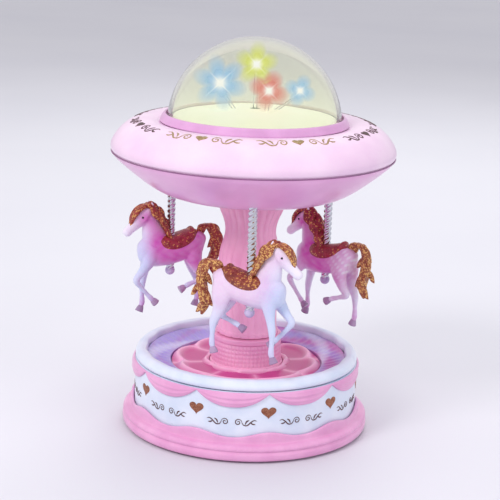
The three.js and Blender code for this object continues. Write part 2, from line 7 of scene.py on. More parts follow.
import bmesh
import bpy
import numpy as np
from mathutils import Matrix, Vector


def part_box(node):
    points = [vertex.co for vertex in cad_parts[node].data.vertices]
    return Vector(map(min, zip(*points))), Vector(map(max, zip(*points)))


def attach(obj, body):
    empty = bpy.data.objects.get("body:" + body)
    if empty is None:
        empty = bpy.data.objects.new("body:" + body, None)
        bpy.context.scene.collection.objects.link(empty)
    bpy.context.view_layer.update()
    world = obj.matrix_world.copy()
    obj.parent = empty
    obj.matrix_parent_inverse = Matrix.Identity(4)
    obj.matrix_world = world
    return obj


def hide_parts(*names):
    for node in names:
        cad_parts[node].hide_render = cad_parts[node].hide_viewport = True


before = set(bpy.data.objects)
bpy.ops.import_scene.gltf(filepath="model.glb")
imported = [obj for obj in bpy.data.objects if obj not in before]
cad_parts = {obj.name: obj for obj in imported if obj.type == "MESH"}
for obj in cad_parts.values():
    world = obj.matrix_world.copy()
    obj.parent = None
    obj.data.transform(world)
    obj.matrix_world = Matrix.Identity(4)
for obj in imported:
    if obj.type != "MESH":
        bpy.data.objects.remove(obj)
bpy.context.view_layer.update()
MM = 0.001
TURN = 2 * np.pi

# %% [markdown]
# ## Camera, light and floor
# The camera stands 0.81 m away and looks down about 14 degrees, as a person at a table does, with a
# long lens so that the saucer and the base keep nearly parallel sides. Area lights and a pale world
# give soft studio light: small lights would make hard spots on the pearly plastic.

# %% Camera
CAMERA_PLACE = Vector((0, -0.7836, 0.2916))
AIM = Vector((0, 0, 0.0962))
ROLL = 0.036

camera_data = bpy.data.cameras.new("camera")
camera_data.sensor_width = 36
camera_data.lens = 108
camera = bpy.data.objects.new("camera", camera_data)
bpy.context.scene.collection.objects.link(camera)
camera.location = CAMERA_PLACE
look = (AIM - CAMERA_PLACE).to_track_quat("-Z", "Y")
camera.rotation_euler = look.to_euler()
camera.rotation_euler.rotate_axis("Z", ROLL)
bpy.context.scene.camera = camera
bpy.context.scene.view_settings.view_transform = "Standard"
print("camera is", round((AIM - CAMERA_PLACE).length, 3), "m from its aim")


# %% Lights and floor
def area_light(name, place, size, watts, colour):
    """A round lamp of that size in metres, aimed at the middle of the toy. It lights without a
    reflection of its own, so that no white disc shows in the clear dome."""
    data = bpy.data.lights.new(name, "AREA")
    data.shape = "DISK"
    data.size = size
    data.energy = watts
    data.color = colour
    lamp = bpy.data.objects.new(name, data)
    lamp.location = place
    lamp.rotation_euler = (AIM - Vector(place)).to_track_quat("-Z", "Y").to_euler()
    lamp.visible_glossy = False
    lamp.visible_transmission = False
    bpy.context.scene.collection.objects.link(lamp)


area_light("key", (-0.75, -0.8, 1.0), 0.42, 8.2, (1, 0.98, 0.97))
area_light("fill", (0.9, -0.8, 0.7), 0.9, 2.8, (0.96, 0.96, 1))
area_light("back", (0.2, 0.9, 0.9), 0.8, 4, (1, 1, 1))
area_light("top", (0, 0, 1.4), 0.8, 3, (1, 1, 1))

world = bpy.data.worlds.new("pale_room")
bpy.context.scene.world = world
world.use_nodes = True
world.node_tree.nodes["Background"].inputs["Color"].default_value = (0.82, 0.81, 0.85, 1)
world.node_tree.nodes["Background"].inputs["Strength"].default_value = 0.9


# %% [markdown]
# ## Helpers for shapes
# Most of this toy is turned or nearly so. A profile is a list of corners whose edges are softened, as a
# mould's are, and a surface carries it round the axis while a formula moves its points in and out.

# %% Profiles
def rounded(corners, radius=0.5, steps=4):
    """A closed profile with each corner replaced by a quadratic curve that starts and ends up to
    radius away from the corner, and never past the middle of an edge."""
    corner = np.array(corners, float)
    before, after = np.roll(corner, 1, 0) - corner, np.roll(corner, -1, 0) - corner
    reach = [np.minimum(radius, np.linalg.norm(v, axis=1) * 0.45)[:, None] for v in (before, after)]
    start = corner + reach[0] * before / np.linalg.norm(before, axis=1)[:, None]
    end = corner + reach[1] * after / np.linalg.norm(after, axis=1)[:, None]
    t = np.linspace(0, 1, steps + 1)[None, :, None]
    curve = (1 - t) ** 2 * start[:, None] + 2 * t * (1 - t) * corner[:, None] + t**2 * end[:, None]
    return curve.reshape(-1, corner.shape[1])


def spline(stations, count):
    """count points on the smooth curve (Catmull-Rom) through the stations, end to end."""
    station = np.array(stations, float)
    padded = np.vstack([2 * station[0] - station[1], station, 2 * station[-1] - station[-2]])
    place = np.linspace(0, len(station) - 1 - 1e-9, count)
    k = place.astype(int)
    t = (place - k)[:, None]
    a, b, c, d = (padded[k + i] for i in range(4))
    return 0.5 * (2 * b + (c - a) * t + (2 * a - 5 * b + 4 * c - d) * t**2 + (3 * b - a - 3 * c + d) * t**3)


def refined(profile, longest):
    """The closed profile with extra points, so that no edge is longer than about longest."""
    following = np.roll(profile, -1, 0)
    pieces = np.maximum(1, np.ceil(np.linalg.norm(following - profile, axis=1) / longest)).astype(int)
    edge = np.repeat(np.arange(len(profile)), pieces)
    step = np.arange(len(edge)) - np.repeat(np.cumsum(pieces) - pieces, pieces)
    share = (step / pieces[edge])[:, None]
    return profile[edge] * (1 - share) + following[edge] * share


# %% Surfaces to meshes
def grid_faces(rows, columns, wrap_rows=True, wrap_columns=True):
    """Four-sided faces of a grid of points, closed on itself where wrap says so."""
    r = np.arange(rows if wrap_rows else rows - 1)[:, None]
    c = np.arange(columns if wrap_columns else columns - 1)[None, :]
    r2, c2 = (r + 1) % rows, (c + 1) % columns
    corners = [r * columns + c, r * columns + c2, r2 * columns + c2, r2 * columns + c]
    return np.stack(corners, -1).reshape(-1, 4)


def turned(profile, count, change=None):
    """Points of a profile of (radius, height) carried round the axis. Azimuth 0 is the front and grows
    towards +X. change(radius, height, azimuth) returns the moved radius and height."""
    azimuth = (np.arange(count) * TURN / count)[None, :]
    radius = np.repeat(profile[:, :1], count, 1)
    height = np.repeat(profile[:, 1:], count, 1)
    if change:
        radius, height = change(radius, height, azimuth)
    return np.stack([radius * np.sin(azimuth), -radius * np.cos(azimuth), height], -1)


def mesh_of(name, points, faces):
    """A mesh from points in millimetres, its doubles merged and its faces turned outwards."""
    mesh = bpy.data.meshes.new(name)
    mesh.from_pydata((np.asarray(points).reshape(-1, 3) * MM).tolist(), [], np.asarray(faces).tolist())
    work = bmesh.new()
    work.from_mesh(mesh)
    bmesh.ops.remove_doubles(work, verts=work.verts, dist=1e-7)
    bmesh.ops.dissolve_degenerate(work, edges=work.edges, dist=1e-8)
    bmesh.ops.recalc_face_normals(work, faces=work.faces)
    work.to_mesh(mesh)
    work.free()
    mesh.polygons.foreach_set("use_smooth", np.ones(len(mesh.polygons), bool))
    return mesh


def piece(name, mesh, material, body, nodes=()):
    """Makes the object for a finished mesh, gives it its material and tells the frame about it."""
    made = bpy.data.objects.new(name, mesh)
    bpy.context.scene.collection.objects.link(made)
    mesh.materials.clear()
    mesh.materials.append(material)
    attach(made, body)
    if nodes:
        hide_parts(*nodes)
    return made


def grid_piece(name, points, material, body, nodes=()):
    """A piece whose surface is one grid of points, closed on itself both ways."""
    return piece(name, mesh_of(name, points, grid_faces(*points.shape[:2])), material, body, nodes)


def coordinates(mesh):
    """The mesh's points in millimetres, as one array."""
    flat = np.zeros(len(mesh.vertices) * 3)
    mesh.vertices.foreach_get("co", flat)
    return flat.reshape(-1, 3) / MM


def paint(mesh, colours):
    """Stores one linear colour for each point in the attribute named paint."""
    layer = mesh.attributes.new("paint", "FLOAT_COLOR", "POINT")
    rgba = np.ones((len(mesh.vertices), 4))
    rgba[:, :3] = colours
    layer.data.foreach_set("color", rgba.ravel())


def span(node):
    """A round CAD node's outer radius, lowest and highest height, in millimetres."""
    low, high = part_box(node)
    return high.x / MM, low.z / MM, high.z / MM


# %% [markdown]
# ## Helpers for finishes
# The toy's plastics are polystyrene and ABS with a pearl pigment: a soft gloss under a clear skin. Real
# mouldings have a very fine skin texture and slow changes of tone where the melt flowed. One function
# adds nodes, and each finish is built from it.

# %% Nodes and colours
def linear(colour):
    """An sRGB hex colour as linear red, green, blue and alpha."""
    value = np.array([int(colour[i : i + 2], 16) for i in (1, 3, 5)]) / 255
    rgb = np.where(value <= 0.04045, value / 12.92, ((value + 0.055) / 1.055) ** 2.4)
    return (*rgb.tolist(), 1.0)


def add(tree, kind, inputs=None, **settings):
    """Adds a node, sets its properties, and fills its inputs: an output socket is linked, and
    anything else is the input's own value."""
    node = tree.nodes.new(kind)
    for key, value in settings.items():
        setattr(node, key, value)
    for key, value in (inputs or {}).items():
        if isinstance(value, bpy.types.NodeSocket):
            tree.links.new(value, node.inputs[key])
        else:
            node.inputs[key].default_value = value
    return node


def blank(name, **shader):
    """A material with only its Principled shader, whose sockets are set by their names."""
    material = bpy.data.materials.new(name)
    material.use_nodes = True
    principled = material.node_tree.nodes["Principled BSDF"]
    for key, value in shader.items():
        principled.inputs[key.replace("_", " ")].default_value = value
    return material, material.node_tree, principled


def mix(tree, share, first, second, blend="MIX"):
    """The colour between first and second at share."""
    node = add(tree, "ShaderNodeMix", {0: share, 6: first, 7: second}, data_type="RGBA", blend_type=blend)
    return node.outputs[2]


def millimetres(size):
    """The scale of a texture whose feature is that many millimetres across on Object coordinates."""
    return 1 / (size * MM)


def noise(tree, size, detail):
    """The outputs, value then colour, of a noise texture with features of that many millimetres."""
    place = add(tree, "ShaderNodeTexCoord").outputs["Object"]
    scale = millimetres(size)
    return add(tree, "ShaderNodeTexNoise", {"Vector": place, "Scale": scale, "Detail": detail}).outputs


def cells(tree, size):
    """The outputs of a Voronoi texture whose cells are about that many millimetres across."""
    place = add(tree, "ShaderNodeTexCoord").outputs["Object"]
    return add(tree, "ShaderNodeTexVoronoi", {"Vector": place, "Scale": millimetres(size)}).outputs


def ranged(tree, value, start, end, low=0.0, high=1.0):
    """The value carried from the range start to end over to the range low to high."""
    return add(tree, "ShaderNodeMapRange", {0: value, 1: start, 2: end, 3: low, 4: high}).outputs[0]


def bumped(tree, shader, height, strength, depth):
    """Makes the height a surface texture that is depth millimetres deep."""
    node = add(tree, "ShaderNodeBump", {"Height": height, "Strength": strength, "Distance": depth * MM})
    tree.links.new(node.outputs[0], shader.inputs["Normal"])


def tinted(tree, colour, shader, *sockets):
    """Links the colour to the shader's base colour and to any other sockets named."""
    for socket in ("Base Color", *sockets):
        tree.links.new(colour, shader.inputs[socket])


# %% Pearly moulded plastic
def pearl_plastic(name, pale, deep, roughness=0.32, flow=14.0, coat=0.35):
    """Injection-moulded styrene with pearl pigment: tone drifts between pale and deep over flow
    millimetres, and a skin texture of about half a millimetre breaks the gloss."""
    material, tree, shader = blank(
        name, Roughness=roughness, IOR=1.55, Coat_Weight=coat, Coat_Roughness=0.12)
    drift = ranged(tree, noise(tree, flow, 3.0)[0], 0.35, 0.65)
    fleck = noise(tree, 0.6, 2.0)
    tone = mix(tree, drift, linear(pale), linear(deep))
    tinted(tree, mix(tree, 0.1, tone, fleck[1], "OVERLAY"), shader)
    gloss = ranged(tree, fleck[0], 0, 1, roughness - 0.06, roughness + 0.08)
    tree.links.new(gloss, shader.inputs["Roughness"])
    bumped(tree, shader, fleck[0], 0.25, 0.03)
    return material


foot_pink = pearl_plastic("pearl_styrene_pink", "#e9a8d2", "#df98c7")
canopy_pink = pearl_plastic("pearl_styrene_lilac_pink", "#efd3e9", "#e8c6e2", 0.3, 22)
canopy_mauve = pearl_plastic("pearl_styrene_mauve", "#eaaedb", "#dfa0d0", 0.34, 22)
column_pink = pearl_plastic("pearl_styrene_column_pink", "#f7b2d3", "#f0a2ca", 0.4)
white_pearl = pearl_plastic("pearl_styrene_white", "#e2e9f7", "#d3def1", 0.32)
# The collar's deeper mauve is painted shade: the ring is the canopy's pale pink, darkened as its face is in
# shadow.
collar_shaded_pink = pearl_plastic("pearl_styrene_collar_shaded_pink", "#dca6d4", "#cf97c6", 0.34)
floor_grey = pearl_plastic("painted_board_pale", "#dadae0", "#d6d6dd", 0.6, 400, 0.0)
print(len(bpy.data.materials), "finishes so far")

# %% Floor
FLOOR_RADIUS = 4000
floor_points = turned(np.array([[0.001, 0], [FLOOR_RADIUS, 0]]), 96)
floor_mesh = mesh_of("floor", floor_points, grid_faces(2, 96, False))
floor = bpy.data.objects.new("floor", floor_mesh)
bpy.context.scene.collection.objects.link(floor)
floor_mesh.materials.append(floor_grey)

# %% [markdown]
# ## The base
# Ten swags hang round the white band, with a heart under each join. The foot's top edge rises in a
# hump under every heart. One function says how close an azimuth is to a heart, so that the swags,
# humps and foil prints all keep step. The places come from the CAD rings.

# %% Pattern of the base
PATTERNS = 10
FIRST_HEART = np.radians(12)


def towards_heart(azimuth):
    """0 in the middle of a swag and 1 at a heart: a raised cosine of the azimuth."""
    return 0.5 + 0.5 * np.cos(PATTERNS * (azimuth - FIRST_HEART))


def swag_share(azimuth):
    """-1 to 1 across one swag, from heart to heart."""
    return (((azimuth - FIRST_HEART) * PATTERNS / TURN) % 1) * 2 - 1


# %% Foot ring
FOOT_R, foot_low = span("foot_ring")[:2]
BEADS = 150
LIP_R = span("base_drum")[0] + 1.5


def foot_change(radius, height, azimuth):
    """The lip above the ledge rises by 3 mm times a rounded hump at each heart and swells outwards
    there; a row of beads stands out of the slope between 7 and 8.6 mm up."""
    hump = towards_heart(azimuth) ** 1.2
    lip = np.clip((height - 9.6) / 2.2, 0, 1)
    bead = np.exp(-(((height - 7.7) / 0.7) ** 2)) * (radius > LIP_R + 2)
    swell = 0.5 * np.abs(np.sin(BEADS * azimuth / 2)) * bead + 0.4 * hump * lip * (radius > LIP_R - 1)
    return radius + swell, height + 3.0 * hump * lip


foot_profile = refined(rounded([
    (57.4, foot_low), (66.2, foot_low), (FOOT_R, foot_low + 1.2), (FOOT_R, 4.6), (65.8, 5.9), (66.7, 6.6),
    (65.6, 8.8), (63, 9.4), (LIP_R + 0.5, 10), (LIP_R + 0.3, 12), (LIP_R - 0.6, 12.4),
    (LIP_R - 1.1, 12), (LIP_R - 1.1, 10.6), (57.4, 10.6)], 0.9), 0.7)
foot_points = turned(foot_profile, 4 * BEADS, foot_change)
grid_piece("foot_ring_moulding", foot_points, foot_pink, "base", ["foot_ring"])
print("foot ring points", foot_points.shape)

# %% White band and rim
DRUM_R, drum_low, drum_high = span("base_drum")
band_points = turned(refined(rounded([
    (DRUM_R - 2, drum_low), (DRUM_R, drum_low), (DRUM_R, drum_high), (DRUM_R - 2, drum_high)], 0.3), 4), 240)
grid_piece("band_wall", band_points, white_pearl, "base", ["base_drum"])

RIM_R, rim_low, rim_high = span("rim_ring")
rim_corners = [
    (54, rim_low + 0.2), (RIM_R - 0.6, rim_low), (RIM_R, rim_low + 2.6), (RIM_R - 1.6, rim_high - 0.6),
    (57, rim_high + 0.1), (54.4, rim_high - 0.5), (53.9, rim_low + 3)]


def rim_change(radius, height, azimuth):
    """The inner edge of the rim is faintly scalloped, twice as often as the swags."""
    inner = np.clip((57 - radius) / 3, 0, 1)
    return radius - 0.35 * inner * np.cos(2 * PATTERNS * azimuth), height


rim_points = turned(refined(rounded(rim_corners, 1.6, 6), 1.2), 320, rim_change)
grid_piece("rim_moulding", rim_points, white_pearl, "base", ["rim_ring"])

# %% [markdown]
# ## The swags
# A swag is modelled as a shallow drape: its lower edge is a parabola from heart to heart, its face
# bulges, and soft folds follow that edge. The section is a closed loop, down the face and up the back,
# so a single grid closes on itself both ways.

# %% Swag ring
swag_low, swag_high = span("swag_ring")[1:]


def swag_surface(rows=28, columns=900):
    """Height runs from the top to a lower edge that dips by a parabola in each swag. The face stands out
    by a rounded bulge and three folds that follow the edge; the back lies on the band."""
    azimuth = (np.arange(columns) * TURN / columns)[None, :]
    across = np.abs(swag_share(azimuth))
    depth = 0.7 + (swag_high - swag_low - 0.4) * (1 - across**2.3)
    down = np.linspace(0, 1, rows)[:, None]
    face = 1.5 * np.sqrt(np.clip(1 - (2 * down - 1) ** 4, 0, 1)) * (0.45 + 0.55 * (1 - across**4))
    folds = 0.2 * np.cos(down * 3 * TURN) * (1 - across**2) * np.sin(np.pi * down)
    front = DRUM_R + 0.12 + face + folds
    back = np.full_like(front, DRUM_R + 0.1)
    height = swag_high - depth * down
    radius = np.vstack([front, back[::-1]])
    height = np.vstack([height, height[::-1]])
    return np.stack([radius * np.sin(azimuth), -radius * np.cos(azimuth), height], -1)


swag_points = swag_surface()
grid_piece("swag_drape", swag_points, foot_pink, "base", ["swag_ring"])
print("swags hang", round(swag_high - swag_low, 1), "mm")

# %% [markdown]
# ## The stage
# The deck slopes down from the rim to a flower of rounded petals. The flower's height is a function of
# radius and azimuth: a raised edge round every petal, a hollow inside it, and a crease where two meet.
# The same function gives its tone: the hollows are deeper in colour as painted shade, and the rims paler as
# painted highlight.

# %% Deck
DECK_PETALS = 8
deck_r = span("deck_tray")[0]


def painted_plastic(name, roughness=0.34):
    """Pearl plastic whose colour comes from the attribute named paint, with a fine mottle."""
    material, tree, shader = blank(name, Roughness=roughness, IOR=1.55, Coat_Weight=0.4, Coat_Roughness=0.1)
    colour = add(tree, "ShaderNodeAttribute", attribute_name="paint").outputs["Color"]
    spray = noise(tree, 0.9, 3.0)
    tinted(tree, mix(tree, 0.16, colour, spray[1], "OVERLAY"), shader)
    bumped(tree, shader, spray[0], 0.3, 0.04)
    return material


def blend_of(share, first, second):
    """Rows of linear colours between two hex colours."""
    share = np.clip(share, 0, 1)[:, None]
    return (1 - share) * np.array(linear(first)[:3]) + share * np.array(linear(second)[:3])


stage_paint = painted_plastic("painted_pearl_styrene")
PLEATS = 60


def deck_change(radius, height, azimuth):
    """The slope carries a ring of soft radial pleats: a cosine of the azimuth that fades out at the
    slope's foot and at its top edge."""
    slope = (height > 33.5) * np.clip((radius - 41.6) / 3, 0, 1) * np.clip((53 - radius) / 3, 0, 1)
    return radius, height + 0.35 * slope * np.cos(PLEATS * azimuth)


deck_profile = refined(rounded([
    (5.4, 31.5), (41.6, 31.5), (47.4, 34.3), (deck_r, 34.9), (deck_r, 36.1), (53.7, 36.1), (53.7, 38.7),
    (47.2, 36.3), (41.3, 34.7), (41.2, 32.8), (5.4, 32.8)], 0.4), 1.0)
deck_points = turned(deck_profile, 480, deck_change)
deck_mesh = mesh_of("deck_plate", deck_points, grid_faces(*deck_points.shape[:2]))
spot = coordinates(deck_mesh)
deck_azimuth = np.arctan2(spot[:, 0], -spot[:, 1])
deck_radius = np.hypot(spot[:, 0], spot[:, 1])
# Painted light: the deck turns darker magenta towards its right side as painted shade, and in swirling
# streaks of painted pearl sheen; the pale blue-white streaks are painted highlights.
shade_and_sheen = 0.5 + 0.5 * np.cos(deck_azimuth - 1.5) + 0.45 * np.sin(7 * deck_azimuth + deck_radius / 2) - 0.25
painted_highlight = np.clip(0.7 * np.sin(5 * deck_azimuth + 1 - deck_radius / 3) - 0.1, 0, 0.6)[:, None]
painted_highlight_colour = np.array(linear("#dbe2f7")[:3])
paint(deck_mesh, blend_of(shade_and_sheen, "#a79adb", "#bd6cb6") * (1 - painted_highlight) + painted_highlight_colour * painted_highlight)
piece("deck_plate", deck_mesh, stage_paint, "base", ["deck_tray"])


# %% Rosette
def rosette_relief(radius, azimuth):
    """A wide ring of petals round a small one. In each, q is the radius over the petal's own edge, which is
    widest along the petal's middle; the height is a rim at q near 0.9 over a hollow, and falls off past the
    edge. Returns the height and the tone of painted light, 0 (painted shade) in a hollow and 1 (painted
    highlight) on a rim."""
    height, tone = np.zeros_like(radius), np.zeros_like(radius)
    for edge, swing, shift, lift, base in ((36.6, 4.6, 0.0, 2.4, 0.0), (21.6, 2.6, 0.5, 1.2, 0.9)):
        lobe = np.abs(np.cos(0.5 * DECK_PETALS * azimuth + shift * np.pi))
        q = radius / (edge + swing * lobe**0.7)
        rim = np.exp(-(((q - 0.92) / 0.055) ** 2))
        inside = np.clip((1.02 - q) * 12, 0, 1)
        petal = lift * (rim * (0.35 + 0.65 * lobe**0.5) + 0.16 * inside) + base * inside
        tone = np.where(petal > height, np.clip(rim + 0.8 * (1 - lobe) ** 4 + 0.2 * (base > 0), 0, 1), tone)
        height = np.maximum(height, petal)
    return height, tone


ROSETTE_R, rosette_low, rosette_high = span("deck_rosette")
rosette_profile = np.vstack([
    np.column_stack([np.linspace(20.3, ROSETTE_R, 64), np.full(64, rosette_high)]),
    np.column_stack([np.linspace(ROSETTE_R, 20.3, 8), np.full(8, rosette_low)])])
PETAL_TURN = 0.2


def rosette_change(radius, height, azimuth):
    """The top of the disc takes the petal height, and its underside stays flat."""
    top = height > rosette_low + 0.1
    return radius, np.where(top, rosette_low + 0.4 + rosette_relief(radius, azimuth + PETAL_TURN)[0], height)


rosette_points = turned(rosette_profile, 480, rosette_change)
rosette_mesh = mesh_of("petal_rosette", rosette_points, grid_faces(*rosette_points.shape[:2]))
spot = coordinates(rosette_mesh)
spot_azimuth = np.arctan2(spot[:, 0], -spot[:, 1])
petal_shading = rosette_relief(np.hypot(spot[:, 0], spot[:, 1]), spot_azimuth + PETAL_TURN)[1]
# The petal shading paints shade in the hollows and highlight on the rims.
paint(rosette_mesh, blend_of(petal_shading, "#c41d83", "#f7b6d6"))
piece("petal_rosette", rosette_mesh, stage_paint, "base", ["deck_rosette"])
print("rosette rises", round(float(coordinates(rosette_mesh)[:, 2].max() - rosette_low), 2), "mm")

# %% [markdown]
# ## The column
# The shaft is fluted like gathered cloth and flares into a capital. Its foot looks like a woven basket:
# uprights that pass in front of and behind level bands. Both are one sine times another on a turned
# profile, which a mould maker would cut the same way, by indexing round the axis.

# %% Pedestal
PEDESTAL_R, pedestal_low, pedestal_high = span("column_pedestal")
STAVES = 28
ROW_HEIGHT = 1.15


def basket(radius, height, azimuth):
    """Between the two plain hoops, the wall is a grid of small cushions: the square root of the
    absolute sine round the axis times the same up it."""
    wall = (radius > 16) * (height > pedestal_low + 2.2) * (height < pedestal_high - 3.4)
    across = np.sqrt(np.abs(np.sin(STAVES * azimuth)))
    upward = np.sqrt(np.abs(np.sin(0.5 * np.pi * (height - pedestal_low) / ROW_HEIGHT)))
    return radius + 0.5 * across * upward * wall, height


pedestal_profile = refined(rounded([
    (6.2, pedestal_low), (PEDESTAL_R, pedestal_low), (PEDESTAL_R, pedestal_low + 1.6),
    (18.7, pedestal_low + 2.4), (18.1, pedestal_high - 3.2), (18.9, pedestal_high - 2.8),
    (18.9, pedestal_high - 0.2), (16, pedestal_high), (6.2, pedestal_high)], 0.6), 0.45)
pedestal_points = turned(pedestal_profile, STAVES * 12, basket)
grid_piece("column_basket", pedestal_points, column_pink, "base", ["column_pedestal"])

# %% Shaft
shaft_low, shaft_high = span("column_shaft")[1:]
FLUTES = 22


def flutes(radius, height, azimuth):
    """Each flute is a soft gather: the absolute sine round the axis, deeper on the capital, and with
    a slow sway up the column so that no two gathers are alike."""
    outside = np.clip((radius - 11) / 1.2, 0, 1)
    sway = 0.05 * np.sin(height / 9 + 3 * azimuth)
    gather = np.abs(np.sin(0.5 * FLUTES * (azimuth + sway)))
    depth = 0.6 + 0.5 * np.clip((height - 108) / 10, 0, 1)
    return radius - outside * depth * (1 - gather**0.8), height


shaft_outside = spline([
    (16.7, shaft_low + 0.2), (16.7, shaft_low + 2), (15.9, shaft_low + 4), (15.6, 66), (16, 78), (16.8, 88),
    (16.2, 96), (14.6, 102), (13.7, 106), (13.9, 110), (15.2, 114.5), (17.2, 119), (18.4, 123),
    (18.4, shaft_high)], 110)
shaft_inside = np.array([(8.6, shaft_high), (8.6, 104), (10, 102), (10, shaft_low + 0.2)])
shaft_points = turned(refined(np.vstack([shaft_outside, shaft_inside]), 3), FLUTES * 14, flutes)
grid_piece("column_drape", shaft_points, column_pink, "base", ["column_shaft"])

# %% [markdown]
# ## The canopy
# Two thin shells meet at a dark seam. Each is a smooth curve through a few stations, with the inside
# offset by the wall. The collar grips the dome.

# %% Canopy shells and collar
CANOPY_R, canopy_low = span("canopy_upper_shell")[:2]
seam = span("canopy_lower_shell")[2]
WALL = 1.8

lower_outside = spline([
    (5.2, 126), (18, 126.1), (30, 126.3), (38, 126.9), (45, 128.2), (51, 130.4), (57, 134), (63, 138.5),
    (68.5, 143), (73, 147), (74.9, seam - 0.2)], 70)
lower_inside = (lower_outside + np.array([-0.8, 1.0]) * WALL)[::-1]
lower_inside[0, 1] = lower_outside[-1, 1]
lower_points = turned(refined(np.vstack([lower_outside, lower_inside]), 3), 256)
grid_piece("canopy_bowl", lower_points, canopy_mauve, "carousel", ["canopy_lower_shell"])

UPPER_CURVE = spline([
    (74.6, canopy_low + 0.1), (CANOPY_R - 0.1, canopy_low + 1.6), (75.2, 154), (73.6, 157.2), (70.6, 160.9),
    (66.4, 164.2), (61.2, 166.4), (55.6, 166.8), (52, 166.2), (50.2, 165.5), (47.2, 165.4)], 90)
upper_inside = (UPPER_CURVE - np.array([0.45, 0.9]) * WALL)[::-1]
upper_inside[-1] = UPPER_CURVE[0] - np.array([WALL, 0])
upper_inside[:, 0] = np.maximum(upper_inside[:, 0], 47.2)
upper_points = turned(np.vstack([UPPER_CURVE, upper_inside]), 256)
grid_piece("canopy_saucer", upper_points, canopy_pink, "carousel", ["canopy_upper_shell"])

seam_angle = np.linspace(0, TURN, 12, endpoint=False)
seam_oval = np.column_stack([75.0 + 0.36 * np.cos(seam_angle), seam + 0.1 + 0.26 * np.sin(seam_angle)])
seam_points = turned(seam_oval, 240)
seam_plum = pearl_plastic("pearl_styrene_plum", "#94588a", "#804a78", 0.4)
grid_piece("canopy_seam", seam_points, seam_plum, "carousel")

COLLAR_R, collar_low, collar_high = span("dome_collar")
collar_points = turned(refined(rounded([
    (3.5, 166.3), (46, 166.3), (46.5, collar_low + 0.1), (COLLAR_R + 0.4, collar_low + 0.1),
    (COLLAR_R - 0.1, 167), (48.4, 169.4), (47.4, collar_high - 0.4), (46.7, 169.8), (46.7, 167.6),
    (3.5, 167.6)], 0.9, 6), 3), 240)
# The ring's mauve finish is painted shade on the canopy's pink.
grid_piece("dome_ring", collar_points, collar_shaded_pink, "carousel", ["dome_collar"])

# %% [markdown]
# ## The dome
# Blown or moulded clear polystyrene, about 1.4 mm thick. It is modelled with both of its faces, so that
# light bends at each, and its refractive index is that of styrene.

# %% Dome
dome_low, dome_high = span("dome")[1:]
SPHERE_R = 46.2
dome_middle = dome_high - SPHERE_R
DOME_WALL = 1.4


def arc(radius, count):
    """A quarter arc from the dome's base height up to its crown."""
    start = np.arcsin((dome_low - dome_middle) / radius)
    angle = np.linspace(start, np.pi / 2, count)
    return np.column_stack([radius * np.cos(angle), dome_middle + radius * np.sin(angle)])


clear_styrene, tree, shader = blank(
    "clear_polystyrene", Roughness=0.02, IOR=1.5, Transmission_Weight=1.0, Base_Color=linear("#f8f9f0"))
ripple = noise(tree, 18, 1.0)[0]
tree.links.new(ranged(tree, ripple, 0, 1, 0, 0.03), shader.inputs["Roughness"])
bumped(tree, shader, ripple, 0.15, 0.2)

ROWS, AROUND = 40, 200
dome_profile = np.vstack([arc(SPHERE_R, ROWS), arc(SPHERE_R - DOME_WALL, ROWS)[::-1]])
dome_points = turned(dome_profile, AROUND)
last_row = (2 * ROWS - 1) * AROUND
dome_faces = np.vstack([
    grid_faces(ROWS, AROUND, False), grid_faces(ROWS, AROUND, False) + ROWS * AROUND,
    [[i, (i + 1) % AROUND, last_row + (i + 1) % AROUND, last_row + i] for i in range(AROUND)]])
dome_mesh = mesh_of("dome_glass", dome_points, dome_faces)
piece("dome_glass", dome_mesh, clear_styrene, "carousel", ["dome"])
print("dome crown at", round(dome_high, 1), "mm")

# %% [markdown]
# ## Foil prints
# Hot-stamped foil lies about 0.1 mm proud of the plastic. A heart and a scroll are drawn flat, in
# millimetres along and across the print, and a second function wraps the flat drawing round the band or
# over the canopy, the way the stamping roller does.


# %% Foil drawings
def heart_slab(width, thick=0.22):
    """A heart filled from its middle: the classic curve x = sin cubed, y = four cosines, scaled by a
    share that runs 0 to 1 over the front and back to 0 on the back. Columns: along, across, out."""
    angle = np.arange(56) * TURN / 56
    along = np.sin(angle) ** 3
    across = (13 * np.cos(angle) - 5 * np.cos(2 * angle) - 2 * np.cos(3 * angle) - np.cos(4 * angle)) / 18.5
    share = np.concatenate([np.linspace(0, 0.94, 6), [1], np.linspace(1, 0, 3)])[:, None]
    out = np.concatenate([np.full(6, thick), [thick * 0.5], np.full(3, -thick)])[:, None]
    reach = share * width / 2
    flat = np.stack([along * reach, (across + 0.12) * reach, out + 0 * share * along], -1)
    return flat, grid_faces(10, 56, False)


def ribbon(path, width, thick=0.22):
    """A tapering strip along a flat path: its section is an ellipse, wide in the drawing and thin out
    of it, and its width swells as a sine from one end to the other."""
    direction = np.gradient(path, axis=0)
    direction /= np.linalg.norm(direction, axis=1)[:, None]
    angle = np.arange(8) * TURN / 8
    half = (width / 2 * np.sqrt(np.sin(np.linspace(0, np.pi, len(path)))))[:, None]
    along = path[:, :1] - direction[:, 1:] * half * np.cos(angle)
    across = path[:, 1:] + direction[:, :1] * half * np.cos(angle)
    return np.stack([along, across, thick * np.sin(angle) + 0 * half], -1), grid_faces(len(path), 8, False)


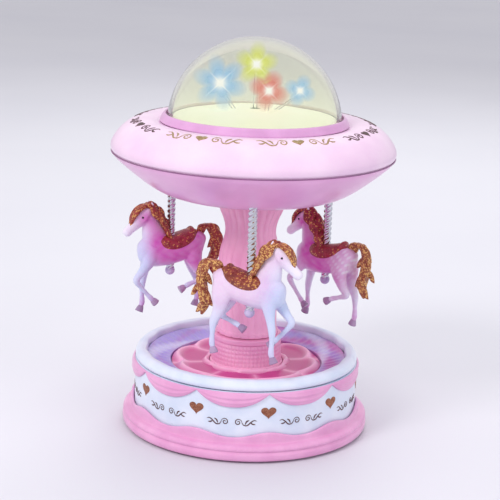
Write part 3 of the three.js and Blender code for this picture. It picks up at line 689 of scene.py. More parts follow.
def scroll(side, size):
    """One curl of one and a half turns that runs out into a waving tail with two leaves; side is +1
    or -1 and mirrors it, and size scales it in millimetres."""
    turns = np.linspace(0, 3.1 * np.pi, 34)
    reach = 0.14 + 0.86 * turns / turns[-1]
    curl = np.stack([3.6 - 2.1 * reach * np.cos(turns), 2.1 * reach * np.sin(turns)], -1)
    tail = spline([(5.7, 0.1), (6.6, -1.5), (8.6, -1.6), (10.4, 0.1), (12.2, 1.3), (13.8, 0.9)], 22)
    first_leaf = spline([(7.4, -1.2), (8.2, 0.6), (9.6, 1.4)], 9)
    second_leaf = spline([(10.2, 0), (11.6, -0.9), (13, -0.9)], 9)
    mirror = np.array([side, 1]) * size
    strokes = ((curl, 0.58), (tail, 0.72), (first_leaf, 0.85), (second_leaf, 0.8))
    return [ribbon(path * mirror, width * size) for path, width in strokes]


def collected(parts):
    """Joins a list of (points, faces) into one list of points and one of faces."""
    sizes = [points.reshape(-1, 3).shape[0] for points, faces in parts]
    start = np.cumsum([0] + sizes[:-1])
    return (np.vstack([points.reshape(-1, 3) for points, faces in parts]),
            np.vstack([faces + first for (points, faces), first in zip(parts, start)]))


def joined_piece(name, parts, material, body):
    """A piece made of a list of (points, faces)."""
    return piece(name, mesh_of(name, *collected(parts)), material, body)


def on_band(flat, azimuth, height):
    """Wraps a flat drawing round the white band with its middle at that azimuth and height."""
    angle = azimuth + flat[..., 0] / DRUM_R
    radius = DRUM_R + 0.02 + flat[..., 2]
    return np.stack([radius * np.sin(angle), -radius * np.cos(angle), height + flat[..., 1]], -1)


canopy_reach = np.concatenate([[0], np.cumsum(np.linalg.norm(np.diff(UPPER_CURVE, axis=0), axis=1))])
PRINT_RADIUS = 62.8
print_reach = np.interp(-PRINT_RADIUS, -UPPER_CURVE[30:, 0], canopy_reach[30:])


def on_canopy(flat, azimuth):
    """Lays a flat drawing on the canopy: its across measure runs inwards along the shell's curve, and
    its thickness stands off along the shell's own normal."""
    reach = print_reach + flat[..., 1]
    radius, height = (np.interp(reach, canopy_reach, UPPER_CURVE[:, k]) for k in (0, 1))
    ahead = [np.interp(reach + 0.5, canopy_reach, UPPER_CURVE[:, k]) for k in (0, 1)]
    slope = np.arctan2(ahead[1] - height, radius - ahead[0])
    radius, height = radius + flat[..., 2] * np.sin(slope), height + flat[..., 2] * np.cos(slope)
    angle = azimuth + flat[..., 0] / PRINT_RADIUS
    return np.stack([radius * np.sin(angle), -radius * np.cos(angle), height], -1)


# %% Foil finish and pieces
def foil(name, pale, deep, roughness=0.3):
    """Hot-stamped metal foil: fully metallic, and crinkled by the plastic under it; small patches are
    painted pale and others deep, a painted reflection of patches that catch the light and others that go
    dark."""
    material, tree, shader = blank(name, Metallic=1.0, Roughness=roughness)
    patch = cells(tree, 0.8)
    # Each cell's pale or deep colour is a painted reflection.
    tinted(tree, mix(tree, patch["Color"], linear(pale), linear(deep)), shader)
    bumped(tree, shader, patch[0], 0.5, 0.1)
    return material


copper_foil = foil("copper_foil", "#bd8468", "#8a5444", 0.42)
bronze_foil = foil("dark_bronze_foil", "#8f7470", "#5a4044", 0.42)
# The pale gold foil is a painted reflection, used only on the canopy units that face the front.
lit_front_gold_foil = foil("pale_gold_foil_painted_reflection", "#e9d3a6", "#b9935e", 0.32)
HEART_HEIGHT, SCROLL_HEIGHT = 25.3, 20.2

hearts, scrolls = [], []
for k in range(PATTERNS):
    heart_azimuth = FIRST_HEART + k * TURN / PATTERNS
    points, faces = heart_slab(8.0)
    hearts.append((on_band(points, heart_azimuth, HEART_HEIGHT), faces))
    for side in (-1, 1):
        for points, faces in scroll(side, 0.95):
            scrolls.append((on_band(points, heart_azimuth + np.pi / PATTERNS, SCROLL_HEIGHT), faces))
joined_piece("foil_hearts", hearts, copper_foil, "base")
joined_piece("foil_scrolls", scrolls, bronze_foil, "base")

CANOPY_HEARTS = 8
gold, bronze = [], []
for k in range(CANOPY_HEARTS):
    unit_azimuth = np.radians(-24.5) + k * TURN / CANOPY_HEARTS
    drawings = [heart_slab(6.4)]
    for side in (-1, 1):
        for points, faces in scroll(side, 1.3):
            drawings.append((points * np.array([1, 1.15, 1]) + np.array([side * 3.4, 0, 0]), faces))
    # Painted reflection: the units facing the front are foiled pale gold, as if catching the light, and the
    # rest dark bronze.
    facing_front = np.cos(unit_azimuth) > 0.8
    for points, faces in drawings:
        (gold if facing_front else bronze).append((on_canopy(points, unit_azimuth), faces))
joined_piece("canopy_foil_painted_reflection", gold, lit_front_gold_foil, "carousel")
joined_piece("canopy_foil_bronze", bronze, bronze_foil, "carousel")
print(len(hearts), "hearts on the band and", CANOPY_HEARTS, "on the canopy")

# %% [markdown]
# ## The poles
# A carousel pole is a twisted rod, here chrome-plated plastic. A rod with three soft lobes, turned as it
# rises, gives the spiral that catches a row of bright and dark bands. Each ends in a painted knob below
# the horse.

# %% Pole finishes
chrome, tree, shader = blank("chrome_plate", Metallic=1.0, Roughness=0.09, Base_Color=linear("#d4d6de"))
smear = ranged(tree, noise(tree, 2.5, 4.0)[0], 0, 1, 0.05, 0.16)
tree.links.new(smear, shader.inputs["Roughness"])
knob_lavender = pearl_plastic("pearl_styrene_lavender", "#cdbfe0", "#b9a8d2", 0.3)
TWIST_LEAD = 8.4
LOBES = 3


# %% Pole shapes
def twisted_rod(radius, low, high, rows=420, columns=30):
    """The radius is multiplied by 1 plus 0.13 times a cosine of three times the angle, and the angle
    turns once in each lead as it rises. Both ends close to a point in their middle."""
    height = np.linspace(low, high, rows)[:, None]
    angle = (np.arange(columns) * TURN / columns)[None, :]
    round_off = np.ones((rows, 1))
    round_off[[0, -1]] = 0
    lobe = 1 + 0.13 * np.cos(LOBES * (angle - height * TURN / TWIST_LEAD))
    r = radius * lobe * round_off
    points = np.stack([r * np.cos(angle), r * np.sin(angle), height + 0 * angle], -1)
    return points, grid_faces(rows, columns, False)


def knob(radius, middle, rows=22, columns=28):
    """A ball that is pinched under its top, as a turned finial is."""
    angle = np.linspace(0, np.pi, rows)[:, None]
    around = (np.arange(columns) * TURN / columns)[None, :]
    r = radius * np.sin(angle) * (1 - 0.18 * np.exp(-(((angle - 0.6) / 0.25) ** 2)))
    height = middle + radius * np.cos(angle) + 0 * around
    return np.stack([r * np.cos(around), r * np.sin(around), height], -1), grid_faces(rows, columns, False)


POLES = (1, 2, 3)
pole_places = {}
for number in POLES:
    low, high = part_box(f"pole_{number}")
    pole_places[number] = np.array([(low.x + high.x) / 2, (low.y + high.y) / 2, low.z]) / MM
    bottom, top = low.z / MM, high.z / MM
    shift = pole_places[number] * np.array([1, 1, 0])
    points, faces = twisted_rod(2.12, bottom + 2, top)
    rod_mesh = mesh_of(f"twisted_pole_{number}", points + shift, faces)
    piece(f"twisted_pole_{number}", rod_mesh, chrome, "carousel", [f"pole_{number}"])
    points, faces = knob(2.7, bottom + 3.4)
    knob_mesh = mesh_of(f"pole_knob_{number}", points + shift, faces)
    piece(f"pole_knob_{number}", knob_mesh, knob_lavender, "carousel")
print("poles stand at", {k: np.round(v, 1).tolist() for k, v in pole_places.items()})

# %% [markdown]
# ## The horses
# A horse is a set of tapering tubes. Each runs along a smooth path with an oval section that changes from
# station to station: barrel, neck, head, legs. They are joined and remeshed to one skin, which blends
# them as a sculptor's wax does, and smoothed. The same horse is placed three times.


# %% Loft along a path
def loft(stations, rows=40, columns=20):
    """An oval tube through stations of x, y, z, half width and half depth. The width lies level and
    square to the path, the depth square to both. The first and last rings close to points."""
    s = spline(stations, rows)
    path, size = s[:, :3], np.maximum(s[:, 3:5], 0.05)
    direction = np.gradient(path, axis=0)
    direction /= np.linalg.norm(direction, axis=1)[:, None]
    level = np.array([0, 1, 0]) - direction[:, 1:2] * direction
    level /= np.linalg.norm(level, axis=1)[:, None]
    up = np.cross(direction, level)
    angle = (np.arange(columns) * TURN / columns)[None, :, None]
    across = size[:, None, :1] * np.cos(angle) * level[:, None]
    ring = across + size[:, None, 1:] * np.sin(angle) * up[:, None]
    end = np.zeros((1, columns, 3))
    points = np.vstack([path[:1, None] + end, path[:, None] + ring, path[-1:, None] + end])
    return points, grid_faces(rows + 2, columns, False)


def sculpted(name, lofts, voxel, smoothing):
    """Joins the lofts, remeshes them to one skin with cells of that size, and smooths it."""
    mesh = mesh_of(name + "_wax", *collected(lofts))
    wax = bpy.data.objects.new(name + "_wax", mesh)
    bpy.context.scene.collection.objects.link(wax)
    skin = wax.modifiers.new("skin", "REMESH")
    skin.mode, skin.voxel_size = "VOXEL", voxel * MM
    soft = wax.modifiers.new("soft", "SMOOTH")
    soft.factor, soft.iterations = 0.5, smoothing
    done = bpy.data.meshes.new_from_object(wax.evaluated_get(bpy.context.evaluated_depsgraph_get()))
    done.name = name
    bpy.data.objects.remove(wax)
    bpy.data.meshes.remove(mesh)
    return done


# %% Body of the horse
# x runs forward, y to the horse's left, z up, in millimetres; the pole stands on the z axis.
barrel = [(-20.4, 0, 90, 1.6, 2), (-18.4, 0, 90.6, 5, 5.8), (-13.6, 0, 90, 7.1, 8), (-6, 0, 88.4, 6.9, 7.9),
          (2, 0, 87.2, 7, 8.2), (10, 0, 87.6, 6.6, 8.9), (15.4, 0, 88.4, 5.4, 7.8), (18.4, 0, 88.8, 3.6, 5),
          (19.6, 0, 88.8, 1.2, 1.6)]
neck = [(7, 0, 89.5, 5.2, 8), (10.4, 0, 97, 4.4, 6.8), (12.4, 0, 103.6, 3.3, 5), (14.2, 0, 109, 2.7, 3.9),
        (15.6, 0, 111, 1.8, 2)]
head = [(12.2, 0, 111, 2.2, 2.4), (14.4, 0, 109.4, 3.1, 4.2), (17.8, 0, 106.6, 3, 4.3),
        (21, 0, 103.8, 2.3, 3.4), (24, 0, 101.2, 2, 2.7), (26.4, 0, 99.2, 2.1, 2.6), (27.8, 0, 98, 1.4, 1.6)]
cheek = [(15, 0, 108.4, 3.4, 1.4), (16.6, 0, 106.6, 3.6, 2.2), (18.4, 0, 105, 3, 1.4)]
ears = [[(12.6, s * 1.7, 111.6, 1, 1.1), (12.4, s * 2.2, 113.8, 0.9, 0.9), (12.9, s * 2.3, 116, 0.25, 0.25)]
        for s in (-1, 1)]
near_fore = [(10.6, -3.2, 90, 3.4, 5.4), (12.4, -3.8, 82, 2.8, 3.9), (13.8, -4, 75, 1.9, 2.5),
             (14.9, -4, 69, 1.7, 2), (15, -4, 63, 1.15, 1.3), (14.8, -4, 57.8, 1.4, 1.6),
             (15.6, -4, 55.4, 1.15, 1.3)]
far_fore = [(10.6, 3.2, 90, 3.4, 5.4), (15, 3.9, 82, 2.8, 3.6), (19.4, 4, 76.4, 1.9, 2.3),
            (22, 4, 72.8, 1.8, 1.9), (18.6, 4, 68, 1.15, 1.3), (15, 4, 64, 1.15, 1.25),
            (13.2, 4, 62, 1.4, 1.5), (11.9, 4, 60.6, 1.15, 1.25)]
near_hind = [(-13, -2.8, 91, 4.2, 6.6), (-14.4, -3.8, 83, 3.6, 5.4), (-15.6, -4, 76, 2.5, 3.4),
             (-18.4, -4, 69, 1.7, 2.3), (-18.9, -4, 63, 1.15, 1.4), (-19, -4, 57.6, 1.4, 1.6),
             (-18.4, -4, 55.4, 1.15, 1.3)]
far_hind = [(-12, 2.8, 90.4, 4.2, 6.6), (-12.8, 3.8, 82.6, 3.6, 4.8), (-15.4, 4, 76, 2.4, 3),
            (-18.6, 4, 71.2, 1.7, 2), (-13.8, 4, 69, 1.15, 1.3), (-9.4, 4, 67.4, 1.4, 1.5),
            (-7, 4, 66.2, 1.15, 1.25)]
body_lofts = [loft(s) for s in (barrel, neck, head, cheek, *ears, near_fore, far_fore, near_hind, far_hind)]
horse_body = sculpted("horse_body", body_lofts, 0.45, 4)
hoof_stations = [
    [(15.4, -4, 55.8, 1.3, 1.4), (15.8, -4, 54.6, 1.7, 1.9), (16.6, -4, 52.6, 2.1, 2.4)],
    [(12.2, 4, 60.9, 1.3, 1.4), (11.4, 4, 60.2, 1.7, 1.9), (10, 4, 58.8, 2.1, 2.3)],
    [(-18.6, -4, 55.8, 1.3, 1.4), (-18.2, -4, 54.6, 1.7, 1.9), (-17.6, -4, 52.6, 2.1, 2.4)],
    [(-7.4, 4, 66.4, 1.3, 1.4), (-6.4, 4, 65.9, 1.7, 1.9), (-4.4, 4, 64.8, 2.1, 2.3)]]
horse_hooves = mesh_of("horse_hooves", *collected([loft(s, 8, 20) for s in hoof_stations]))
eye_stations = [
    [(17.8, s * 2.6, 107.9, 0.1, 0.1), (18.2, s * 2.8, 107.6, 0.75, 0.65), (18.8, s * 2.6, 107.2, 0.1, 0.1)]
    for s in (-1, 1)]
eyes = [loft(s, 10, 14) for s in eye_stations]
horse_eyes = mesh_of("horse_eyes", *collected(eyes))
print("horse body has", len(horse_body.polygons), "faces")


# %% Mane, tail and saddle
def lock(points, thick):
    """A strand of hair: a loft that is thin at its root, full in its middle and pointed at its end."""
    path = np.array(points, float)
    fullness = np.interp(np.linspace(0, 1, len(path)), [0, 0.35, 0.75, 1], [0.7, 1, 0.8, 0.15])
    return loft(np.column_stack([path, fullness * thick, fullness * thick]), 18, 10)


crest = spline([(3, 0, 96.4), (5.4, 0, 101), (8, 0, 106), (11, 0, 110.6), (14.4, 0, 112.8)], 10)
MANE_SWEEP = np.array([[0.8, 0.4, 0.6], [-0.6, 2, 1], [-1.4, 3.4, -1.2], [-2, 4.2, -3.8], [-3.8, 4.4, -6]])
mane_locks = [loft(np.column_stack([crest, np.full(10, 2.1), np.full(10, 2.1)]), 24, 12)]
for k, root in enumerate(crest):
    swing = 1 + 0.25 * np.sin(2.4 * k)
    for side in (-1, 1):
        mane_locks.append(lock(root + MANE_SWEEP * swing * np.array([1, side, 1]), 1.35))
    flick = np.array([[0, 0, 0.6], [-1.8, 0, 1.6], [-3.6, 0, 0], [-5, 0, -2.6]]) * swing
    mane_locks.append(lock(root + flick, 1.5))
for side in (-1, 0, 1):
    forelock = [(13, side, 113), (16.6, side * 1.8, 113.4), (20.4, side * 2.1, 111.2),
                (23, side * 1.7, 107.6), (23.8, side * 1.1, 105), (25.2, side * 0.9, 102.6)]
    mane_locks.append(lock(forelock, 1.3))
horse_mane = sculpted("horse_mane", mane_locks, 0.32, 2)

tail_path = spline([(-16.6, 0, 96), (-20, 0, 99.4), (-24.6, 0, 99.2), (-27.6, 0, 94), (-28.2, 0, 87),
                    (-26.4, 0, 81), (-26, 0, 76), (-27.6, 0, 70.4)], 30)
share = np.linspace(0, 1, 30)
tail_width = np.interp(share, [0, 0.15, 0.45, 0.8, 1], [1.4, 2.4, 3.2, 2.9, 0.6])
tail_locks = []
for k in range(7):
    turn_now = TURN * k / 7 + 3.4 * share
    swell = 1.1 + 0.5 * np.sin(13 * share + 2 * k)
    outwards = np.column_stack([np.cos(turn_now), np.sin(turn_now) * 0.8, 0 * share])
    offset = outwards * (tail_width * swell)[:, None] * 0.62
    strand_size = tail_width * 0.38
    tail_locks.append(loft(np.column_stack([tail_path + offset, strand_size, strand_size]), 44, 10))
for k, station in enumerate((7, 10, 13, 17, 20, 24)):
    side = (-1) ** k
    flick = np.array([(side, 0, 0.5), (2.6 * side, 0.7 * (k % 3 - 1), -1.8), (4 * side, k % 3 - 1, -4.6),
                      (5.6 * side, 0.8 * (k % 3 - 1), -6.2)])
    tail_locks.append(lock(tail_path[station] + flick, 1.5))
horse_tail = sculpted("horse_tail", tail_locks, 0.32, 2)

saddle_lofts = [
    loft([(-17, 0, 96, 1.4, 1.4), (-15, 0, 95.4, 3.6, 3.2), (-11, 0, 94.4, 6.4, 4.3),
          (-6, 0, 92.6, 7.4, 4.8), (0, 0, 91.4, 7.6, 4.9), (5, 0, 92.2, 7.1, 5),
          (8, 0, 93.6, 4.8, 4.2), (9.4, 0, 94.2, 1.6, 1.6)], 34, 28),
    loft([(-11.6, -4.8, 96, 0.8, 0.8), (-12.2, -2.6, 98.2, 1, 1), (-12.4, 0, 99, 1.1, 1.1),
          (-12.2, 2.6, 98.2, 1, 1), (-11.6, 4.8, 96, 0.8, 0.8)], 24, 14),
    loft([(5.4, -3.6, 95.4, 0.8, 0.8), (6, -2, 97, 0.9, 0.9), (6.2, 0, 97.6, 1, 1), (6, 2, 97, 0.9, 0.9),
          (5.4, 3.6, 95.4, 0.8, 0.8)], 24, 14)]
horse_saddle = sculpted("horse_saddle", saddle_lofts, 0.4, 3)
hair_faces = [len(m.polygons) for m in (horse_mane, horse_tail, horse_saddle)]
print("mane, tail and saddle have", hair_faces, "faces")


# %% Horse finishes
def glitter_paint(name, pale, deep, gold_share, gold_colour="#cf9450"):
    """Hair paint with glitter: small flat flakes in a clear binder. Each Voronoi cell is a flake, with
    its own tilt and its own tone, and a few cells are gold."""
    material, tree, shader = blank(name, Roughness=0.42, IOR=1.5, Coat_Weight=0.25, Coat_Roughness=0.2)
    flake = add(tree, "ShaderNodeSeparateColor", {0: cells(tree, 0.7)["Color"]}).outputs
    strand = ranged(tree, noise(tree, 2.2, 3.0)[0], 0.3, 0.7)
    tone = mix(tree, strand, linear(deep), linear(pale))
    is_gold = ranged(tree, flake[0], 0.98 - gold_share, 1 - gold_share)
    tinted(tree, mix(tree, is_gold, tone, linear(gold_colour)), shader)
    tree.links.new(ranged(tree, flake[1], 0.7, 0.75, 0, 0.5), shader.inputs["Metallic"])
    bumped(tree, shader, flake[2], 0.6, 0.15)
    return material


# Painted light: one copper-gold glitter paint is made in lit and shaded copies; the golden and brown copies
# are painted highlight, the wine and chestnut copies painted shade.
shaded_hair_wine = glitter_paint("glitter_paint_shaded_wine", "#ab3040", "#7e1f2c", 0.1)
shaded_hair_chestnut = glitter_paint("glitter_paint_shaded_chestnut", "#a84234", "#842829", 0.2)
lit_hair_golden = glitter_paint("glitter_paint_lit_golden_brown", "#b06a40", "#843526", 0.34, "#e0ae66")
shaded_saddle_wine = glitter_paint("glitter_paint_saddle", "#a83642", "#80242f", 0.05)
lit_saddle_brown = glitter_paint("glitter_paint_lit_saddle_brown", "#9c4a36", "#76302a", 0.14)
horse_paint = painted_plastic("airbrushed_pearl_styrene", 0.3)
hoof_lilac = pearl_plastic("pearl_styrene_hoof_lilac", "#b496b8", "#9c80a4", 0.34)
black_gloss, tree, shader = blank("black_enamel", Roughness=0.12, IOR=1.5)
tinted(tree, mix(tree, noise(tree, 0.5, 1.0)[0], linear("#1c1418"), linear("#2e2228")), shader)


# %% Airbrushing
def soft_spot(p, middle, size):
    """1 at the middle and falling off as a bell over the three sizes."""
    return np.exp(-(((p - np.array(middle)) / np.array(size)) ** 2).sum(1))


def airbrushed(p, strength, blue, dapple):
    """Paint for points of the horse: pearl white, cooler blue on the chest and legs, then magenta
    sprayed over the back, flank, rump and cheek, broken up by slow sine mottling. A dappled rump is
    paler, with spots."""
    x, y, z = p.T
    mottle = 0.5 + 0.5 * np.sin(x * 0.9 + 1.7 * np.sin(z * 0.7)) * np.cos(z * 0.8 + y * 0.5)
    spots = np.clip(1.6 * np.sin(x * 1.7 + 0.4 * z) * np.sin(z * 1.6 + 0.6 * x), 0, 1)
    barrel_spray = soft_spot(p, (-3, 0, 89), (15, 60, 11)) + soft_spot(p, (-15, 0, 89), (8, 60, 10))
    barrel_spray = np.clip(1.35 * (barrel_spray + 0.45 * soft_spot(p, (9, 0, 92), (6, 60, 8))), 0, 1)
    barrel_spray = barrel_spray * (0.84 + 0.16 * mottle)
    pale_rump = dapple * np.clip(1.3 * soft_spot(p, (-16, 0, 90), (9, 60, 12)), 0, 1) * (0.62 + 0.38 * spots)
    face = 0.85 * soft_spot(p, (17, 0, 107), (5, 60, 5)) + 0.5 * soft_spot(p, (11, 0, 104), (4, 60, 8))
    shin = 0.42 * np.clip((66 - z) / 12, 0, 1) + 0.25 * mottle * np.clip((80 - z) / 20, 0, 1)
    spray = np.clip(strength * (barrel_spray * (1 - pale_rump) + face + shin), 0, 1)[:, None]
    chest = soft_spot(p, (17, 0, 86), (9, 60, 13)) + np.clip((86 - z) / 26, 0, 0.8)
    base = blend_of(blue * chest, "#f0e8f6", "#c6d4f2")
    return base * (1 - spray) + np.array(linear("#d03cb6")[:3]) * spray


# %% Place the horses
HEADINGS = {1: -26, 2: 139, 3: 208}
# Horse 1's spray strength of 0.3 is painted highlight: the front horse is painted paler as if more strongly
# lit.
SPRAY_AND_PAINTED_LIGHT = {1: (0.3, 1.0, 0.2), 2: (0.95, 0.4, 0.85), 3: (0.9, 1.0, 0.1)}
# Horse 1 at the front wears the lit copies; the others wear the shaded copies, except horse 2's lit tail.
HAIR = {1: (lit_hair_golden, lit_hair_golden, lit_saddle_brown), 2: (shaded_hair_wine, lit_hair_golden, shaded_saddle_wine),
        3: (shaded_hair_chestnut, shaded_hair_chestnut, shaded_saddle_wine)}
KNOB_REST = 72.4


def placed(source, name, number):
    """A copy of a horse mesh turned to its heading, moved to its pole and lifted with it."""
    heading = np.radians(HEADINGS[number])
    p = coordinates(source)
    cosine, sine = np.cos(heading), np.sin(heading)
    spin = np.array([[cosine, -sine, 0], [sine, cosine, 0], [0, 0, 1]])
    pole = pole_places[number]
    there = p @ spin.T + np.array([pole[0], pole[1], pole[2] - KNOB_REST])
    mesh = source.copy()
    mesh.name = name
    mesh.vertices.foreach_set("co", (there * MM).ravel())
    mesh.polygons.foreach_set("use_smooth", np.ones(len(mesh.polygons), bool))
    mesh.update()
    return mesh


for number in POLES:
    body_mesh = placed(horse_body, f"horse_{number}_body", number)
    paint(body_mesh, airbrushed(coordinates(horse_body), *SPRAY_AND_PAINTED_LIGHT[number]))
    piece(f"horse_{number}_body", body_mesh, horse_paint, "carousel", [f"horse_{number}"])
    for part, source, finish in (
            ("hooves", horse_hooves, hoof_lilac), ("eyes", horse_eyes, black_gloss),
            ("mane", horse_mane, HAIR[number][0]), ("tail", horse_tail, HAIR[number][1]),
            ("saddle", horse_saddle, HAIR[number][2])):
        part_name = f"horse_{number}_{part}"
        piece(part_name, placed(source, part_name, number), finish, "carousel")
print("placed", len(POLES), "horses")

# %% [markdown]
# ## The lamps
# Four coloured lamps stand on wire leads under the dome. In front of each is a small glowing flower of film,
# painted glow of the lamp: white-hot at the middle, then coloured, and clear at the petals' edges, with
# painted glints along its diagonals. The film's colour and how much it covers are painted on its points.

# %% Lamp finishes
def glowing_film(name):
    """A glowing film that is painted light, standing in for the lamps' glow: emission in the painted colour,
    and its share against clear air is the attribute named cover."""
    material, tree, shader = blank(name, Roughness=0.5, IOR=1.5)
    colour = add(tree, "ShaderNodeAttribute", attribute_name="paint").outputs["Color"]
    cover = add(tree, "ShaderNodeAttribute", attribute_name="cover").outputs["Fac"]
    uneven = mix(tree, 0.12, colour, noise(tree, 1.2, 2.0)[1], "OVERLAY")
    tree.links.new(uneven, shader.inputs["Emission Color"])
    tinted(tree, mix(tree, 0.9, uneven, linear("#000000")), shader)
    shader.inputs["Emission Strength"].default_value = 0.95
    tree.links.new(cover, shader.inputs["Alpha"])
    return material


def set_cover(mesh, values):
    """Stores how much the film covers at each point, 0 to 1, in the attribute named cover."""
    layer = mesh.attributes.new("cover", "FLOAT", "POINT")
    layer.data.foreach_set("value", values)


def tinted_epoxy(name, colour):
    """The lamp's own lens: epoxy tinted right through, glossy, and lit from inside."""
    material, tree, shader = blank(name, Roughness=0.08, IOR=1.55, Emission_Strength=1.2)
    tone = mix(tree, noise(tree, 2, 2.0)[0], linear("#ffffff"), linear(colour))
    tinted(tree, tone, shader, "Emission Color")
    return material


film = glowing_film("painted_lamp_glow_film")
tinned_wire, tree, shader = blank("tinned_copper_wire", Metallic=1.0, Roughness=0.3)
tinted(tree, mix(tree, noise(tree, 1.5, 3.0)[0], linear("#b9bcc2"), linear("#e2e4e8")), shader)


# %% Lamp shapes
def flower(middle, radius, petals, turn_by, colour, rows=40, columns=160):
    """A shallow cupped disc that faces forward and a little up. Its petals are painted glow: the edge of the
    cover is the radius times 0.66 plus 0.34 of the absolute cosine of half the petal count, the white middle
    is a painted highlight, and four thin white rays of painted glint run out along the diagonals. Returns
    points, faces, colours and covers."""
    share = np.linspace(0, 1, rows)[:, None]
    angle = (np.arange(columns) * TURN / columns)[None, :]
    across, up = (share * radius * wave(angle) for wave in (np.cos, np.sin))
    out = 0.12 * radius * share**2 + 0 * angle
    tilt = np.radians(14)
    forward, rise = -out * np.cos(tilt) + up * np.sin(tilt), up * np.cos(tilt) + out * np.sin(tilt)
    points = np.stack([across, forward, rise], -1)
    edge = 0.66 + 0.34 * np.abs(np.cos(0.5 * petals * (angle - turn_by)))
    petal = np.clip(1 - (share / edge) ** 2, 0, 1)
    diagonal = np.abs(np.abs(across) - np.abs(up)) / radius
    ray = np.exp(-((diagonal / 0.022) ** 2)) * np.clip(1 - share, 0, 1)
    # The white middle and the diagonal rays are painted glints of the lamp.
    white = np.clip(1.2 * np.exp(-((share / 0.21) ** 2)) + 0.75 * ray, 0, 1)[..., None]
    rgb = np.array(linear(colour)[:3]) * (1 - white) + white
    cover = np.clip(1.05 * petal + 0.6 * ray, 0, 1)
    return points + np.array(middle), grid_faces(rows, columns, False), rgb, cover


def lens(middle, radius):
    """The lamp's dome-ended lens: a short barrel under half a ball, with a flat foot."""
    angle = np.linspace(0, np.pi / 2, 9)
    profile = np.vstack([[(0, -radius * 1.3), (radius, -radius * 1.3)],
                         np.column_stack([radius * np.cos(angle), radius * np.sin(angle)])])
    return turned(profile, 24) + np.array(middle), grid_faces(len(profile), 24, False)


LAMPS = {
    "led_blue_large": ((-18.5, -6, 187), 3.0, 15.0, 6, "#74b8ee", "#5fb4e8", (-11, -4)),
    "led_yellow": ((0, -4, 197), 2.5, 12.0, 5, "#d8e012", "#e6e030", (0, 0)),
    "led_red": ((6.8, -8, 184), 2.5, 11.4, 4, "#dc2408", "#ee4a30", (6, -7)),
    "led_blue_small": ((23, -4, 184), 2.0, 9.0, 4, "#7bbcee", "#6fc0ea", (11, -2)),
}
board_top = span("led_board")[2]
for lamp_name, (middle, radius, spread, petals, tint, deep_tint, root) in LAMPS.items():
    lens_mesh = mesh_of(f"{lamp_name}_lens", *lens(middle, radius))
    piece(f"{lamp_name}_lens", lens_mesh, tinted_epoxy(f"tinted_epoxy_{lamp_name}", deep_tint), "base",
          [lamp_name])
    leads = []
    for gap in (-0.9, 0.9):
        foot = np.array([root[0] + gap, root[1], board_top])
        neck_point = np.array(middle) + np.array([gap, 0, -radius * 1.2])
        path = np.linspace(foot, neck_point, 6)
        leads.append(loft(np.column_stack([path, np.full(6, 0.28), np.full(6, 0.28)]), 12, 8))
    joined_piece(f"{lamp_name}_leads", leads, tinned_wire, "base")
    front = np.array(middle) + np.array([0, -radius - 0.6, 0])
    # Each flower is a glowing sheet of painted lamp glow, with painted glints.
    points, faces, rgb, cover = flower(front, spread, petals, 0.3 * petals, tint)
    flower_mesh = bpy.data.meshes.new(f"{lamp_name}_flower")
    flower_mesh.from_pydata((points.reshape(-1, 3) * MM).tolist(), [], faces.tolist())
    paint(flower_mesh, rgb.reshape(-1, 3))
    set_cover(flower_mesh, np.broadcast_to(cover, points.shape[:2]).ravel())
    piece(f"{lamp_name}_flower", flower_mesh, film, "base")
print(len(LAMPS), "lamps")

# %% Reflector under the lamps, with painted glow
# The reflector's emission is painted light: it glows as the pool of lamp light on the dome's floor.
reflector_painted_glow, tree, shader = blank("white_styrene_painted_glow", Roughness=0.5, IOR=1.55, Emission_Strength=0.6)
lit = mix(tree, noise(tree, 26, 1.0)[0], linear("#eef1d8"), linear("#f5f5ea"))
tinted(tree, lit, shader, "Emission Color")
reflector_profile = rounded([
    (2.8, 173.2), (16, 173.2), (30, 171.4), (43, 168.9), (43, 168.1), (29, 170.4), (15.6, 173),
    (2.8, 173)], 0.4)
reflector_points = turned(refined(reflector_profile, 2.5), 160)
grid_piece("lamp_reflector", reflector_points, reflector_painted_glow, "base")

# %% Haze inside the dome: a sheet of painted glow
HAZE_R = 43.6
haze_rise = np.linspace(np.arcsin((169.2 - dome_middle) / HAZE_R), np.pi / 2, 40)
haze_profile = np.column_stack([HAZE_R * np.cos(haze_rise), dome_middle + HAZE_R * np.sin(haze_rise)])
haze_mesh = mesh_of("painted_lamp_glow", turned(haze_profile, 120), grid_faces(40, 120, False))
up_share = (coordinates(haze_mesh)[:, 2] - 169.2) / (dome_high - 169.2)
paint(haze_mesh, blend_of(up_share, "#f3f7d8", "#eff1e2"))
# The cover fades upwards: painted glow of the lamps, brightest at the dome's floor.
set_cover(haze_mesh, 0.36 * np.clip(1 - up_share, 0, 1) ** 1.6 + 0.04)
piece("painted_lamp_glow", haze_mesh, film, "base")

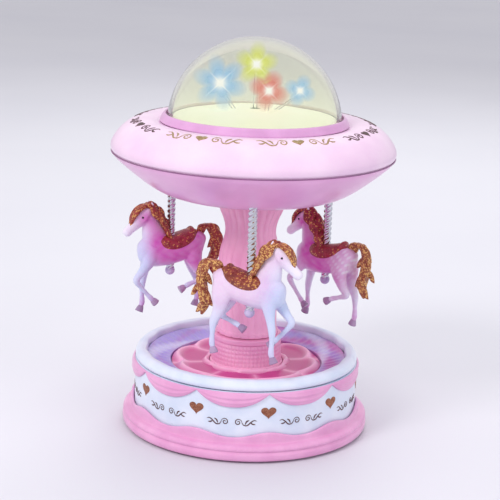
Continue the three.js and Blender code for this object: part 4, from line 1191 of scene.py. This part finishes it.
# %% [markdown]
# ## Working parts
# The battery door, screws, motor and gears come from CAD as they are, and need only their finishes.
# Each finish is chosen by the part's slot in the record, so a gear gets nylon and a screw gets zinc.


# %% Finishes for the working parts
def plain_finish(name, pale, deep, grain, roughness, metallic=0.0, depth=0.05):
    """A moulded or metal finish: tone drifts between two colours over the grain size, and a finer
    layer of the same noise makes the surface texture."""
    material, tree, shader = blank(name, Roughness=roughness, Metallic=metallic, IOR=1.5)
    tinted(tree, mix(tree, noise(tree, grain * 8, 3.0)[0], linear(pale), linear(deep)), shader)
    fine = noise(tree, grain, 4.0)[0]
    tree.links.new(ranged(tree, fine, 0, 1, roughness * 0.8, roughness * 1.2), shader.inputs["Roughness"])
    bumped(tree, shader, fine, 0.4, depth)
    return material


SLOT_FINISHES = {
    "white_abs": plain_finish("textured_white_abs", "#ece9e6", "#e2dfdc", 0.4, 0.5),
    "rubber": plain_finish("moulded_rubber", "#48484b", "#3c3c3f", 0.5, 0.8),
    "steel": plain_finish("zinc_plated_steel", "#b8bcc2", "#a4a8ae", 0.3, 0.35, 1.0),
    "brass": plain_finish("turned_brass", "#d6b062", "#bf9850", 0.3, 0.3, 1.0),
    "gear_nylon": plain_finish("natural_nylon", "#f1ead9", "#e6dec9", 0.6, 0.45),
    "black_plastic": plain_finish("moulded_black_abs", "#2b2b2e", "#222225", 0.4, 0.45),
    "cell_sleeve": plain_finish("printed_pvc_sleeve", "#3f63a4", "#35558f", 1.2, 0.3),
    "paper_cone": plain_finish("pressed_paper", "#453f3b", "#35302d", 0.5, 0.9, 0.0, 0.1),
    "board_green": plain_finish("green_solder_mask", "#2e7147", "#275f3c", 0.5, 0.35),
    "chrome": chrome,
    "canopy_mauve": canopy_mauve,
    "canopy_pink": canopy_pink,
    "column_pink": column_pink,
    "foot_pink": foot_pink,
    "white_pearl": white_pearl,
}
dressed = 0
for node_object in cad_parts.values():
    if node_object.hide_render:
        continue
    slot_name = node_object.data.materials[0].name.split(".")[0]
    node_object.data.materials[0] = SLOT_FINISHES[slot_name]
    dressed += 1
print(dressed, "CAD parts dressed")
